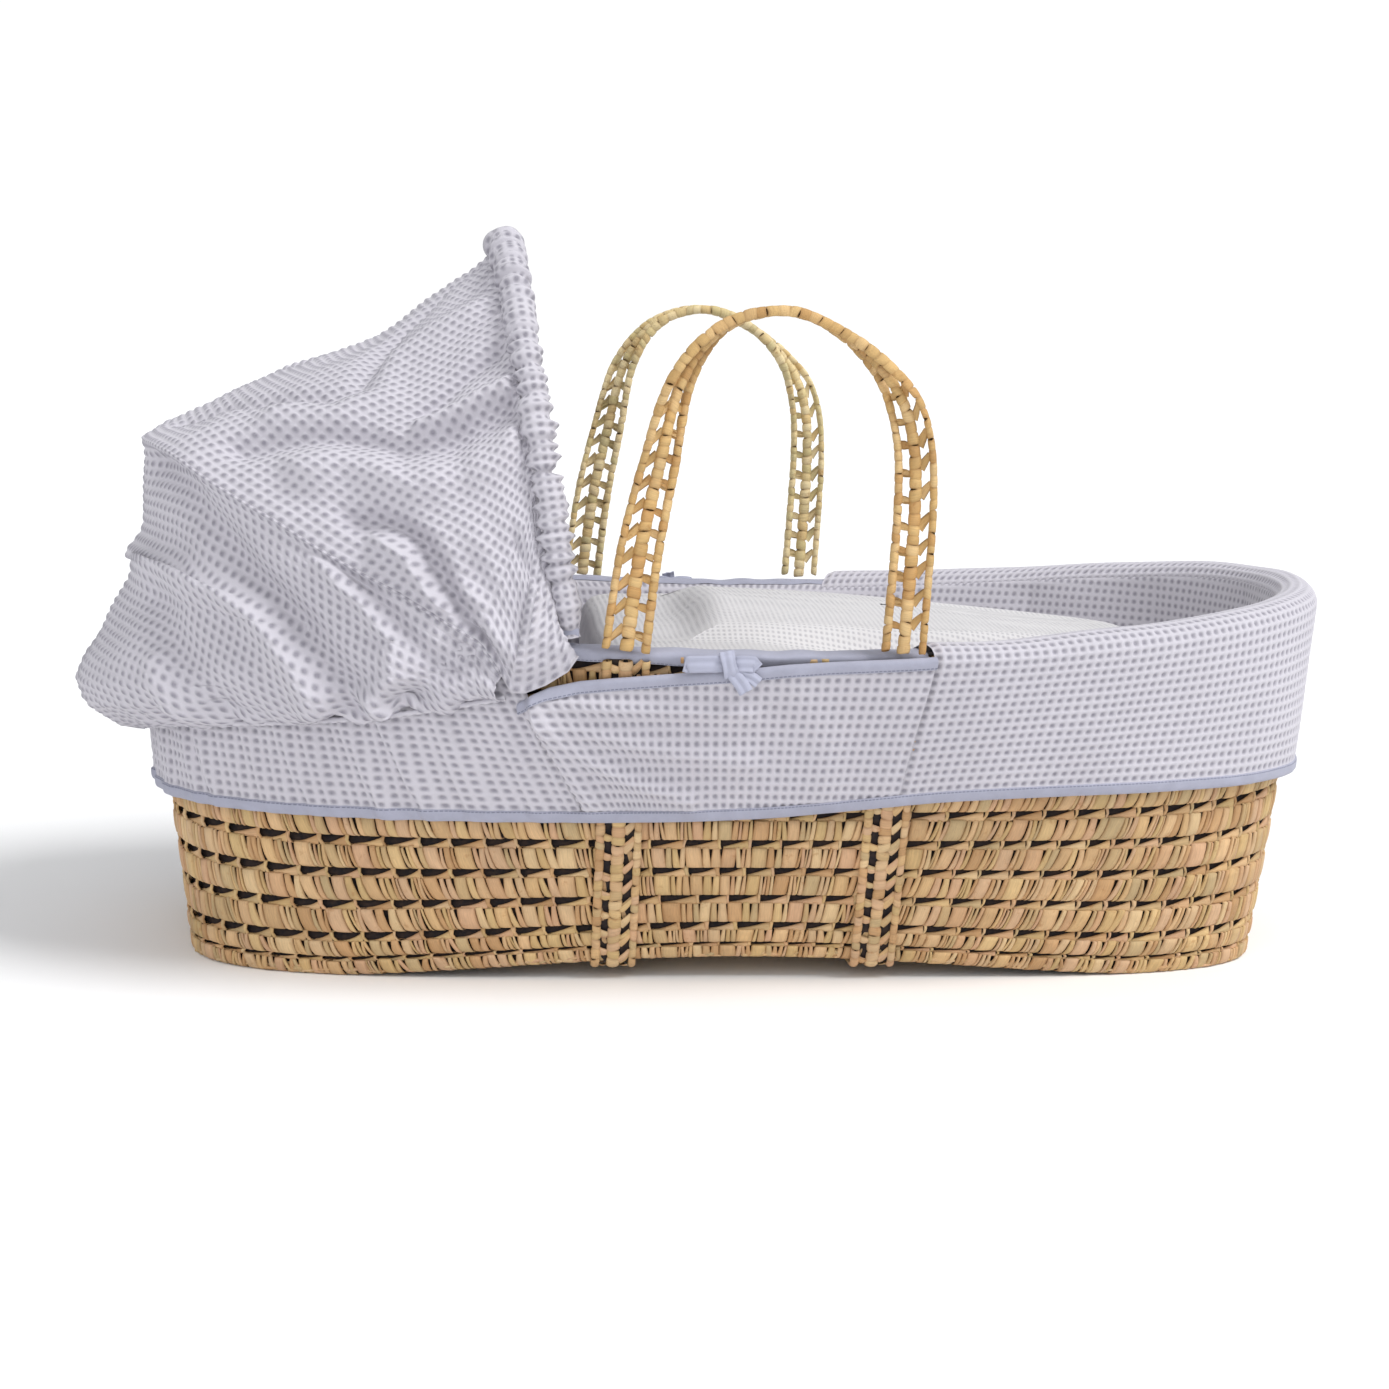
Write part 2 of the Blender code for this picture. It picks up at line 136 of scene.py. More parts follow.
def rim_z(x):
    return RIM_MID_Z + RIM_RISE * (x / RIM_A) ** 2


def base_z(x):
    return BASE_END_Z + BASE_ARCH * (1 - np.minimum(1.0, np.abs(x) / BASE_FLAT_X) ** 2)


def oval(angle, a, b, n):
    r = (np.abs(np.cos(angle) / a) ** n + np.abs(np.sin(angle) / b) ** n) ** (-1 / n)
    return r * np.cos(angle), r * np.sin(angle)


def outline_table():
    """Polar angles round the rim and the step that each one is at, in equal lengths of the rim."""
    angles = np.linspace(0, 2 * pi, 7201)
    x, y = oval(angles, RIM_A, RIM_B, RIM_N)
    lengths = np.concatenate(([0.0], np.cumsum(np.hypot(np.diff(x), np.diff(y)))))
    return angles, lengths * SEGMENTS / lengths[-1]


ANGLES, STEPS = outline_table()


def rim_x(step):
    return oval(np.interp(np.mod(step, SEGMENTS), STEPS, ANGLES), RIM_A, RIM_B, RIM_N)[0]


def wall(step, z, out=0.0):
    """Points out from the wall's outer face, at steps round the outline and heights."""
    step, z, out = np.broadcast_arrays(np.asarray(step, float), z, out)
    angle = np.interp(np.mod(step, SEGMENTS), STEPS, ANGLES)
    x = oval(angle, RIM_A, RIM_B, RIM_N)[0]
    t = (z - base_z(x)) / (rim_z(x) - base_z(x))
    a, b = mix(BASE_A, RIM_A, t) + out, mix(BASE_B, RIM_B, t) + out
    x, y = oval(angle, a, b, mix(BASE_N, RIM_N, np.clip(t, 0.0, 1.0)))
    return np.stack((x, y, z), axis=-1)


def along_wall(step, z, out=0.0):
    """The unit direction of growing steps, level along the wall."""
    d = wall(step + 0.02, z, out) - wall(step - 0.02, z, out)
    d[..., 2] = 0.0
    return d / np.linalg.norm(d, axis=-1, keepdims=True)


def wall_y(x, z, out=0.0):
    t = (z - base_z(x)) / (rim_z(x) - base_z(x))
    a, b = mix(BASE_A, RIM_A, t) + out, mix(BASE_B, RIM_B, t) + out
    n = mix(BASE_N, RIM_N, np.clip(t, 0.0, 1.0))
    return b * (1 - (np.abs(x) / a) ** n) ** (1 / n)


def hem_z(x):
    return 0.1220 + 0.0108 * np.tanh((x - 0.0789) / 0.108)


def flap_top_z(x):
    """The flaps' bound top edge, which drops away at the head end of the slot."""
    places = (-0.160, -0.150, -0.138, -0.118, -0.096, -0.060, -0.015, 0.014, 0.040, 0.090, 0.110)
    heights = (0.1960, 0.2010, 0.2070, 0.2118, 0.2143, 0.2178, 0.2215, 0.2252, 0.2272, 0.2298, 0.2312)
    return np.interp(x, places, heights)


def row_share(row):
    return LOW_ROWS[row] if row < 2 else mix(LOW_ROWS[2], 1.0, (row - 2) / (ROWS - 2))


# Mesh tools


def srgb(r, g, b):
    return tuple(((c / 255 + 0.055) / 1.055) ** 2.4 if c > 10 else c / 3294.6 for c in (r, g, b))


def unit(v):
    return v / np.maximum(np.linalg.norm(v, axis=-1, keepdims=True), 1e-12)


def ripple(x, y, size, seed, spread=pi):
    """Smooth random relief, mostly from -1 to 1, with waves about size long."""
    rng = np.random.default_rng(seed)
    total = 0.0
    for _ in range(8):
        turn = rng.uniform(-spread / 2, spread / 2)
        k = 2 * pi / (size * rng.uniform(0.6, 1.7))
        total = total + np.sin((x * cos(turn) + y * sin(turn)) * k + rng.uniform(0, 2 * pi))
    return total / 4


def resample(grid, count, closed=False):
    """A Catmull-Rom curve through the first axis, at count even places."""
    n = len(grid)
    t = np.arange(count) * n / count if closed else np.linspace(0, n - 1, count)
    i = np.floor(t).astype(int)
    if not closed:
        i = np.minimum(i, n - 2)
    f = (t - i).reshape(-1, *[1] * (grid.ndim - 1))

    def at(k):
        return grid[k % n] if closed else grid[np.clip(k, 0, n - 1)]

    a, b, c, d = at(i - 1), at(i), at(i + 1), at(i + 2)
    return 0.5 * (2 * b + (c - a) * f + (2 * a - 5 * b + 4 * c - d) * f**2 + (3 * b - a - 3 * c + d) * f**3)


def lengths_along(line):
    """Lengths along a line of points, from its start."""
    return np.concatenate(([0.0], np.cumsum(np.linalg.norm(np.diff(line, axis=0), axis=-1))))


def at_lengths(s, lengths, values):
    """The values along a line at lengths s."""
    return np.stack([np.interp(s, lengths, values[:, k]) for k in range(3)], axis=-1)


def quads(rows, columns, closed=False):
    """Faces of a grid of rows x columns points; closed joins the last column to the first."""
    index = np.arange(rows * columns).reshape(rows, columns)
    if closed:
        index = np.concatenate((index, index[:, :1]), axis=1)
    a, b = index[:-1, :-1], index[:-1, 1:]
    c, d = index[1:, 1:], index[1:, :-1]
    return np.stack((a, b, c, d), axis=-1).reshape(-1, 4)


def normals(grid, closed=False):
    """Unit normals of a grid, to the right of its rows seen from the far end of its columns."""
    if closed:
        padded = np.concatenate((grid[:, -1:], grid, grid[:, :1]), axis=1)
        du = padded[:, 2:] - padded[:, :-2]
    else:
        du = np.gradient(grid, axis=1)
    return unit(np.cross(du, np.gradient(grid, axis=0)))


def creases(u, v, lines):
    """Folds along lines of (u, v) points; each has a height and a width."""
    total = np.zeros(np.broadcast(u, v).shape)
    for height, width, points in lines:
        nearest = np.full(total.shape, 9.0)
        for (u0, v0), (u1, v1) in zip(points, points[1:]):
            du, dv = u1 - u0, v1 - v0
            share = np.clip(((u - u0) * du + (v - v0) * dv) / (du * du + dv * dv), 0, 1)
            nearest = np.minimum(nearest, np.hypot(u - u0 - share * du, v - v0 - share * dv))
        total += height * np.exp(-((nearest / width) ** 2))
    return total


class Patches:
    """Parts of one mesh: points, faces, each point's (across, along, tone) and each face's material."""

    def __init__(self):
        self.points, self.faces, self.facts, self.mats, self.count = [], [], [], [], 0

    def add(self, points, faces, facts, mat=0):
        self.points.append(points.reshape(-1, 3))
        self.faces.append(faces + self.count)
        self.facts.append(facts.reshape(-1, 3))
        self.mats.append(np.full(len(faces), mat))
        self.count += len(self.points[-1])

    def piece(self, name, body, slot, mats, replaces=()):
        obj = make_mesh(name, np.concatenate(self.points), np.concatenate(self.faces), mats)
        attribute = obj.data.attributes.new("lay", "FLOAT_VECTOR", "POINT")
        attribute.data.foreach_set("vector", np.concatenate(self.facts).astype(np.float32).ravel())
        obj.data.polygons.foreach_set("material_index", np.concatenate(self.mats).astype(np.int32))
        if body:
            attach(obj, body)
        if replaces:
            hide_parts(*replaces)
        return obj


def make_mesh(name, points, faces, mats):
    mesh = bpy.data.meshes.new(name)
    mesh.from_pydata(points + np.array((CENTRE_X, 0.0, CENTRE_Z)), [], faces)
    mesh.shade_smooth()
    for mat in mats:
        mesh.materials.append(mat)
    obj = bpy.data.objects.new(name, mesh)
    bpy.context.scene.collection.objects.link(obj)
    return obj


def ribbons(patches, path, side, up, tones, crown=0.0005, edge=0.0011, mat=0):
    """Strips with a crowned middle and turned-down edges, along path, (strips, points, 3). side is the
    half width and up the face's direction."""
    count, points = path.shape[:2]
    across = np.array((-1.0, -0.84, -0.3, 0.3, 0.84, 1.0))
    lift = np.array((-edge, -0.0001, crown, crown, -0.0001, -edge))
    verts = path[:, :, None] + side[:, :, None] * across[:, None] + up[:, :, None] * lift[:, None]
    steps = np.linalg.norm(np.diff(path, axis=1), axis=-1)
    along = np.concatenate((np.zeros((count, 1)), np.cumsum(steps, axis=1)), axis=1)
    facts = np.empty((count, points, len(across), 3))
    facts[..., 0] = across
    facts[..., 1] = along[:, :, None]
    facts[..., 2] = np.asarray(tones).reshape(-1, 1, 1)
    one = quads(points, len(across))
    faces = (one[None] + (np.arange(count) * points * len(across))[:, None, None]).reshape(-1, 4)
    patches.add(verts, faces, facts, mat)


# Materials


class Nodes:
    """A material's node tree, with short ways to add and join nodes."""

    def __init__(self, name, roughness=0.8):
        self.mat = bpy.data.materials.new(name)
        self.mat.use_nodes = True
        self.tree = self.mat.node_tree
        self.shader = self.tree.nodes["Principled BSDF"]
        self.shader.inputs["Roughness"].default_value = roughness

    def new(self, kind, **values):
        node = self.tree.nodes.new("ShaderNode" + kind)
        for key, value in values.items():
            setattr(node, key, value)
        return node

    def link(self, source, target):
        if isinstance(source, (int, float, tuple)):
            target.default_value = source
        else:
            self.tree.links.new(source, target)

    def math(self, kind, a, b=0.0, c=0.0):
        node = self.new("Math", operation=kind)
        for value, socket in zip((a, b, c), node.inputs):
            self.link(value, socket)
        return node.outputs[0]

    def attribute(self):
        node = self.new("Attribute", attribute_name="lay")
        split = self.new("SeparateXYZ")
        self.link(node.outputs["Vector"], split.inputs[0])
        return node.outputs["Vector"], split.outputs

    def scaled(self, vector, scale):
        node = self.new("VectorMath", operation="MULTIPLY")
        self.link(vector, node.inputs[0])
        node.inputs[1].default_value = scale
        return node.outputs[0]

    def noise(self, vector, scale, detail=3.0, roughness=0.6):
        node = self.new("TexNoise")
        self.link(vector, node.inputs["Vector"])
        node.inputs["Scale"].default_value = scale
        node.inputs["Detail"].default_value = detail
        node.inputs["Roughness"].default_value = roughness
        return node.outputs["Fac"]

    def place(self):
        """A point's own place at rest, whichever body carries it."""
        return self.new("TexCoord").outputs["Object"]

    def ramp(self, value, stops, constant=False):
        node = self.new("ValToRGB")
        node.color_ramp.interpolation = "CONSTANT" if constant else "LINEAR"
        items = node.color_ramp.elements
        while len(items) < len(stops):
            items.new(0.5)
        for item, (where, color) in zip(items, stops):
            item.position, item.color = where, (*color, 1.0)
        self.link(value, node.inputs["Fac"])
        return node.outputs["Color"]

    def range(self, value, a, b, c, d):
        node = self.new("MapRange")
        for v, socket in zip((value, a, b, c, d), node.inputs):
            self.link(v, socket)
        return node.outputs[0]

    def blend(self, fac, a, b, kind="MIX"):
        node = self.new("Mix", data_type="RGBA", blend_type=kind)
        for value, key in ((fac, "Factor_Float"), (a, "A_Color"), (b, "B_Color")):
            self.link(value, next(s for s in node.inputs if s.identifier == key))
        return next(s for s in node.outputs if s.identifier == "Result_Color")

    def gray(self, value):
        node = self.new("CombineColor")
        for socket in node.inputs:
            self.link(value, socket)
        return node.outputs[0]

    def finish(self, color, roughness=None, height=None, depth=0.0005, strength=0.6):
        self.link(color, self.shader.inputs["Base Color"])
        if roughness is not None:
            self.link(roughness, self.shader.inputs["Roughness"])
        if height is not None:
            bump = self.new("Bump")
            bump.inputs["Strength"].default_value = strength
            bump.inputs["Distance"].default_value = depth
            self.link(height, bump.inputs["Height"])
            self.link(bump.outputs["Normal"], self.shader.inputs["Normal"])
        return self.mat


def leaf_material(name, tints):
    """Split palm leaf: each strip has its own tint, fibres along it, browned edges and a few stains."""
    n = Nodes(name)
    _, (across, along, tone) = n.attribute()
    stops = [(i / len(tints), srgb(*tint)) for i, tint in enumerate(tints)]
    tint = n.ramp(tone, stops, constant=True)
    own = n.math("MULTIPLY", tone, 57.0)
    shifted = n.new("CombineXYZ")
    n.link(n.math("ADD", n.math("MULTIPLY", across, 5.0), own), shifted.inputs[0])
    n.link(n.math("MULTIPLY", along, 60.0), shifted.inputs[1])
    n.link(own, shifted.inputs[2])
    fibre = n.noise(shifted.outputs[0], 1.6, 5.0, 0.65)
    broad = n.noise(n.place(), 38.0, 2.0)
    stain = n.noise(n.place(), 130.0, 4.0, 0.7)
    shade = n.math("MULTIPLY", n.range(fibre, 0.3, 0.7, 0.80, 1.10), n.range(broad, 0.3, 0.7, 0.88, 1.08))
    color = n.blend(1.0, tint, n.gray(shade), "MULTIPLY")
    rim = n.math("POWER", n.math("ABSOLUTE", across), 6.0)
    color = n.blend(n.math("MULTIPLY", rim, 0.55), color, (*srgb(128, 86, 46), 1.0))
    color = n.blend(n.range(stain, 0.60, 0.74, 0.0, 0.55), color, (*srgb(158, 104, 52), 1.0))
    n.shader.inputs["Specular IOR Level"].default_value = 0.35
    return n.finish(color, n.range(fibre, 0.3, 0.7, 0.50, 0.72), fibre, 0.0006, 0.7)


def slit_shadow_material():
    # Painted shadow: a near-black colour for what lies behind the leaves, standing in for the shade in the
    # gaps between them
    n = Nodes("palm_shadow")
    grain = n.noise(n.place(), 220.0, 4.0)
    color = n.ramp(grain, ((0.35, srgb(20, 17, 24)), (0.7, srgb(62, 48, 42))))
    return n.finish(color, n.range(grain, 0.3, 0.7, 0.8, 0.95), grain, 0.001)


def waffle_material(name, ridge, hollow_shade, cell, shade_pits=0.85, depth=0.0008, bump=0.5):
    """Honeycomb cotton: raised threads round square hollows, with its spun yarn. The hollows are painted
    darker, as their shade.
    """
    n = Nodes(name, 0.9)
    vector, (u, v, _) = n.attribute()
    waves = []
    for part in (u, v):
        turned = n.math("COSINE", n.math("MULTIPLY", part, 2 * pi / cell))
        waves.append(n.math("POWER", n.math("MULTIPLY_ADD", turned, -0.5, 0.5), 0.75))
    pit = n.math("SMOOTH_MIN", n.range(n.math("MULTIPLY", *waves), 0.14, 0.92, 0.0, 1.0), 1.0, 0.2)
    pit = n.math("MAXIMUM", pit, 0.0)
    yarn = n.noise(n.scaled(vector, (1.0, 2.2, 1.0)), 1900.0, 2.0, 0.5)
    lint_and_shade_noise = n.noise(n.place(), 700.0, 3.0, 0.7)
    patchy = n.noise(n.place(), 9.0, 3.0)
    thread = n.math("MULTIPLY", n.range(yarn, 0.3, 0.7, 0.93, 1.05), n.range(patchy, 0.35, 0.65, 0.97, 1.02))
    # Painted shade in the hollows: the colour darkens towards the hollows' shade colour with the pit's depth,
    # unevenly by a noise
    uneven_pit_shade = n.range(lint_and_shade_noise, 0.3, 0.7, shade_pits * 0.72, shade_pits)
    painted_pit_shade = n.math("MULTIPLY", n.math("POWER", pit, 1.25), uneven_pit_shade)
    color = n.blend(painted_pit_shade, (*srgb(*ridge), 1.0), (*srgb(*hollow_shade), 1.0))
    color = n.blend(1.0, color, n.gray(thread), "MULTIPLY")
    height = n.math("ADD", n.math("MULTIPLY", pit, -1.0), n.math("MULTIPLY", yarn, 0.35))
    n.shader.inputs["Specular IOR Level"].default_value = 0.2
    n.shader.inputs["Sheen Weight"].default_value = 0.25
    n.shader.inputs["Sheen Roughness"].default_value = 0.5
    return n.finish(color, n.range(lint_and_shade_noise, 0.3, 0.7, 0.84, 0.96), height, depth, bump)


def tape_material(name, tint, shadow, stitched=True):
    """Plain cotton tape: fine threads, soft creases and a line of stitching beside one edge."""
    n = Nodes(name, 0.85)
    vector, (u, _, edge) = n.attribute()
    yarn = n.noise(n.scaled(vector, (1.0, 3.0, 1.0)), 2200.0, 2.0)
    crease = n.noise(n.scaled(vector, (1.0, 0.3, 1.0)), 90.0, 3.0)
    shade = n.math("MULTIPLY", n.range(yarn, 0.3, 0.7, 0.94, 1.05), n.range(crease, 0.3, 0.7, 0.93, 1.05))
    color = n.blend(1.0, (*srgb(*tint), 1.0), n.gray(shade), "MULTIPLY")
    height = n.math("MULTIPLY_ADD", yarn, 0.4, crease)
    if stitched:
        near = n.math("LESS_THAN", n.math("ABSOLUTE", n.math("SUBTRACT", edge, 0.0011)), 0.00035)
        dash = n.math("LESS_THAN", n.math("FRACT", n.math("MULTIPLY", u, 1 / 0.0027)), 0.72)
        thread = n.math("MULTIPLY", near, dash)
        color = n.blend(n.math("MULTIPLY", thread, 0.7), color, (*srgb(*shadow), 1.0))
        height = n.math("SUBTRACT", height, thread)
    n.shader.inputs["Sheen Weight"].default_value = 0.15
    n.shader.inputs["Specular IOR Level"].default_value = 0.25
    return n.finish(color, n.range(crease, 0.3, 0.7, 0.76, 0.9), height, 0.0004, 0.5)


def plastic_material():
    n = Nodes("hoop_plastic", 0.45)
    grain = n.noise(n.place(), 260.0, 2.0)
    color = n.ramp(grain, ((0.3, srgb(205, 205, 205)), (0.7, srgb(222, 222, 220))))
    return n.finish(color, n.range(grain, 0.3, 0.7, 0.38, 0.5), grain, 0.0002, 0.3)


PALM = leaf_material(
    "palm_leaf",
    (
        (206, 170, 128), (198, 162, 118), (212, 176, 132), (204, 168, 132), (194, 164, 120),
        (210, 178, 128), (202, 162, 122), (190, 164, 122), (208, 172, 124), (196, 156, 112),
        (214, 184, 140), (204, 164, 128), (200, 170, 120), (188, 148, 104), (206, 174, 134), (198, 166, 116),
    ),
)
PALM_WARM = leaf_material(
    "warm_palm_leaf",
    (
        (208, 172, 115), (201, 163, 106), (214, 179, 126), (205, 168, 115), (193, 156, 101),
        (210, 176, 121), (199, 157, 101), (216, 183, 131), (203, 167, 110), (192, 150, 95),
    ),
)
PALM_PALE = leaf_material(
    "pale_palm_leaf",
    (
        (222, 200, 150), (214, 190, 138), (208, 188, 140), (228, 208, 162), (216, 196, 144),
        (206, 190, 142), (224, 202, 156), (212, 184, 130), (230, 210, 164), (204, 186, 134),
    ),
)
SHADOW = slit_shadow_material()
FABRIC = waffle_material("waffle_cotton", (196, 193, 201), (120, 117, 129), WAFFLE)
COVER = waffle_material("coverlet_cotton", (210, 208, 209), (158, 156, 162), 0.0038, 0.7, 0.0005)
BINDING = tape_material("binding_tape", (160, 161, 177), (92, 94, 112))
TIE = tape_material("tie_tape", (172, 174, 192), (92, 94, 112), stitched=False)
MATTRESS = waffle_material("mattress_cotton", (238, 237, 234), (214, 212, 208), 0.011, 0.5, 0.0006)
HOOP = plastic_material()


# Woven basket


def leaf_row(seed, low, high, band=0.70, slits=True):
    """One woven row between two heights, as functions of x: wrapped leaves, then a gap crossed by wedges."""
    rng = np.random.default_rng(seed)
    patches = Patches()
    ring = np.linspace(0, SEGMENTS, 241)[:-1]
    lower, upper = low(rim_x(ring)), high(rim_x(ring))
    # A dark ring behind the leaves, in the painted shadow material (index 1), so that the gaps between rows
    # show shade
    section = ((lower, -0.008), (lower, -0.0048), (upper, -0.0048), (upper, -0.008))
    core = [wall(ring, z, out) for z, out in section]
    patches.add(np.stack(core), quads(4, 240, closed=True), np.zeros((4, 240, 3)), 1)

    fine = np.linspace(0, SEGMENTS, 2001)
    line = wall(fine, (low(rim_x(fine)) + high(rim_x(fine))) / 2)
    lengths = lengths_along(line)

    def step_at(length):
        return np.interp(length, lengths, fine)

    centres, halves, gathered, wedge_from, wedge_to = [], [], [], [], []
    at, end = 0.0, lengths[-1]
    while at < end - 0.006:
        period = 0.0215 * rng.uniform(0.80, 1.20)
        if end - at < period * 1.5:
            period = end - at
        wide = period * rng.uniform(0.36, 0.55)
        wedge_from.append(at + wide * 0.10)
        wedge_to.append(at + period * rng.uniform(0.84, 0.95))
        centres.append(at + wide / 2)
        halves.append(wide / 2 * 1.02)
        gathered.append(rng.uniform(0.92, 1.0))
        count = int(rng.integers(2, 5))
        shares = rng.uniform(0.6, 1.4, count)
        shares = shares / shares.sum() * (period - wide)
        place = at + wide
        for share in shares:
            centres.append(place + share / 2)
            halves.append(share / 2 * 1.04)
            gathered.append(rng.uniform(0.55, 0.92))
            place += share
        at += period
    centres, halves, gathered = step_at(np.array(centres)), np.array(halves), np.array(gathered)
    count = len(centres)
    x = rim_x(centres)
    z0 = low(x) + 0.0003
    tall = low(x) + (high(x) - low(x)) * band - z0
    height = np.array((0.03, 0.0, 0.08, 0.34, 0.70, 0.95, 1.0, 0.98))
    relief = np.array((-0.0042, -0.0014, -0.0001, 0.0004, 0.0004, 0.0001, -0.0014, -0.0046))
    jitter = rng.normal(0, 0.00024, (count, 1))
    bulge = rng.uniform(0.7, 1.2, (count, 1))
    z = z0[:, None] + tall[:, None] * (height + rng.normal(0, 0.022, (count, 1)) * height)
    z = np.maximum(z, BASE_END_Z + 0.0004)
    skew = rng.normal(0, 0.00060, (count, 1)) / STEP
    lean = centres[:, None] + skew * (height - 0.5) * 2
    path = wall(lean, z, relief * bulge + jitter)
    along = along_wall(lean, z)
    width = 1 - (1 - gathered[:, None]) * smooth(0.1, 1.0, height)[None]
    side = along * (halves[:, None] * width)[..., None]
    up = np.cross(along, UPWARD)
    ribbons(patches, path, side, up, rng.random(count), edge=0.0014)

    if slits:
        add_wedges(patches, rng, step_at(np.array(wedge_from)), step_at(np.array(wedge_to)), low, high, band)
    return patches


def add_wedges(patches, rng, start, end, low, high, band):
    """In the gap above a row, each leaf that rises to join the next row, then its upright end."""
    share = np.linspace(0, 1, 6)
    steps = start[:, None] + (end - start)[:, None] * share
    x = rim_x(steps)
    z1, z2 = low(x) + (high(x) - low(x)) * band, high(x)
    gap = z2 - z1
    least = rng.uniform(0.0, 0.14, (len(start), 1))
    tall = gap * (least + (1.04 - least) * share ** rng.uniform(1.1, 1.9, (len(start), 1)))
    base = z1 - 0.0012
    centre = base + (tall + 0.0012) / 2
    out = -0.0026 + 0.0018 * share
    path = wall(steps, centre, out)
    up = np.cross(along_wall(steps, centre), UPWARD)
    side = np.zeros_like(path)
    side[..., 2] = -(tall + 0.0012) / 2
    ribbons(patches, path, side, up, rng.random(len(start)), crown=0.0003, edge=0.0009)

    half = rng.uniform(0.0009, 0.0019, len(start))
    height = np.array((-0.30, -0.06, 0.5, 1.06, 1.30))
    relief = np.array((-0.0034, -0.0006, 0.0001, -0.0006, -0.0034))
    centres = end + half / STEP * 0.8
    x = rim_x(centres)
    z1, z2 = low(x) + (high(x) - low(x)) * band, high(x)
    z = z1[:, None] + (z2 - z1)[:, None] * height
    lean = centres[:, None] + rng.normal(0, 0.0006, (len(start), 1)) / STEP * (height - 0.5)
    path = wall(lean, z, relief)
    along = along_wall(lean, z)
    up = np.cross(along, UPWARD)
    width = half[:, None] * np.array((1.25, 1.0, 0.8, 1.0, 1.3))
    ribbons(patches, path, along * width[..., None], up, rng.random(len(start)))


def make_wall():
    for row in range(ROWS):
        shares = (row_share(row), row_share(row + 1))

        def low(x, share=shares[0]):
            return mix(base_z(x), rim_z(x) - 0.007, share)

        def high(x, share=shares[1]):
            return mix(base_z(x), rim_z(x) - 0.007, share)

        patches = leaf_row(300 + row, low, high, band=(0.80, 0.66)[row] if row < 2 else 0.74)
        if row == 0:
            add_foot(patches)
        name = f"wall_row_{row + 1:02d}"
        patches.piece(f"woven_row_{row + 1:02d}", "basket", "palm_leaf", (PALM, SHADOW), (name,))
    border = leaf_row(
        350, lambda x: rim_z(x) - 0.0066, lambda x: rim_z(x) - 0.0002, band=1.0, slits=False
    )
    border.piece("woven_border", "basket", "palm_leaf", (PALM, SHADOW), ("rim_border",))


def add_foot(patches):
    """Rough leaf ends laid slantwise along the base's edge."""
    rng = np.random.default_rng(377)
    count = 330
    start = np.sort(rng.uniform(0, SEGMENTS, count))
    share = np.linspace(0, 1, 5)
    length = rng.uniform(0.008, 0.017, (count, 1)) / STEP
    steps = start[:, None] + length * share
    z = base_z(rim_x(steps)) + 0.0004 + rng.uniform(0.001, 0.0035, (count, 1))
    z = z + share * rng.uniform(-0.0015, 0.0030, (count, 1))
    out = 0.0002 - 0.0022 * (2 * share - 1) ** 2 + rng.uniform(-0.0006, 0.0007, (count, 1))
    z = np.maximum(z, BASE_END_Z + 0.0014)
    path = wall(steps, z, out)
    up = np.cross(along_wall(steps, z), UPWARD)
    side = np.zeros_like(path)
    side[..., 2] = -rng.uniform(0.0010, 0.0021, (count, 1)) * (1 - 0.5 * share)
    ribbons(patches, path, side, up, rng.random(count), crown=0.0004)


def make_floor():
    """The plaited bottom: leaves over and under each other."""
    rng = np.random.default_rng(41)
    patches = Patches()
    low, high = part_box("woven_floor")
    middle, pitch = (low.z + high.z) / 2 - CENTRE_Z, 0.0175
    for lengthways in (True, False):
        reach = (BASE_B if lengthways else BASE_A) - 0.014
        offsets = np.arange(-reach, reach, pitch) + pitch / 2
        a, b = (BASE_A, BASE_B) if lengthways else (BASE_B, BASE_A)
        for i, offset in enumerate(offsets):
            half = (a - 0.0125) * (1 - (abs(offset) / b) ** 4) ** 0.25
            s = np.linspace(-half, half, int(half / 0.0022))
            wave = 0.0011 * np.cos(s / pitch * pi + (i + (0 if lengthways else 1)) * pi)
            z = np.full_like(s, middle) + wave
            fixed = np.full_like(s, offset)
            path = np.stack((s, fixed, z) if lengthways else (fixed, s, z), axis=-1)[None]
            side = np.zeros_like(path)
            side[..., 1 if lengthways else 0] = (1 if lengthways else -1) * (pitch / 2 - 0.0006)
            up = np.zeros_like(path)
            up[..., 2] = -1.0
            ribbons(patches, path, side, up, rng.random(1), crown=0.0003, edge=0.0006)
    patches.piece("plaited_floor", "basket", "palm_leaf", (PALM,), ("woven_floor",))


# Straps and handles


def cord(patches, rng, path, across, up, offset, half, deep, ring=0.0068):
    """A core wrapped in rings of leaf. offset and half are lengths at full width."""
    lengths = lengths_along(path)
    edges = [0.0]
    while edges[-1] < lengths[-1] - ring * 0.6:
        edges.append(edges[-1] + ring * rng.uniform(0.78, 1.25))
    edges = np.minimum(np.array(edges), lengths[-1])
    around = np.linspace(0, 1, 15)[:-1]
    rows = np.array((-0.05, 0.10, 0.5, 0.90, 1.05))
    swell = np.array((0.78, 0.95, 1.0, 0.95, 0.80))
    for a, b in zip(edges, edges[1:]):
        tone, fat = rng.random(), rng.uniform(0.94, 1.07)
        slant, phase = rng.uniform(0.0004, 0.0013), rng.uniform(0, 1)
        points = []
        for row, big in zip(rows, swell):
            s = np.clip(mix(a, b, row) + slant * np.cos(2 * pi * (around + phase)), 0, lengths[-1])
            centre, w, n = (at_lengths(s, lengths, values) for values in (path, across, up))
            n = unit(n)
            angle = 2 * pi * around
            point = centre + w * offset
            point = point + w * (half * big * fat * np.cos(angle))[:, None]
            point = point + n * (deep * big * fat * np.sin(angle))[:, None]
            points.append(point)
        facts = np.empty((len(rows), len(around), 3))
        facts[..., 0] = np.clip(rows[:, None] * 2 - 1, -1, 1)
        facts[..., 1] = around * 0.02
        facts[..., 2] = tone
        patches.add(np.stack(points), quads(len(rows), len(around), closed=True), facts)


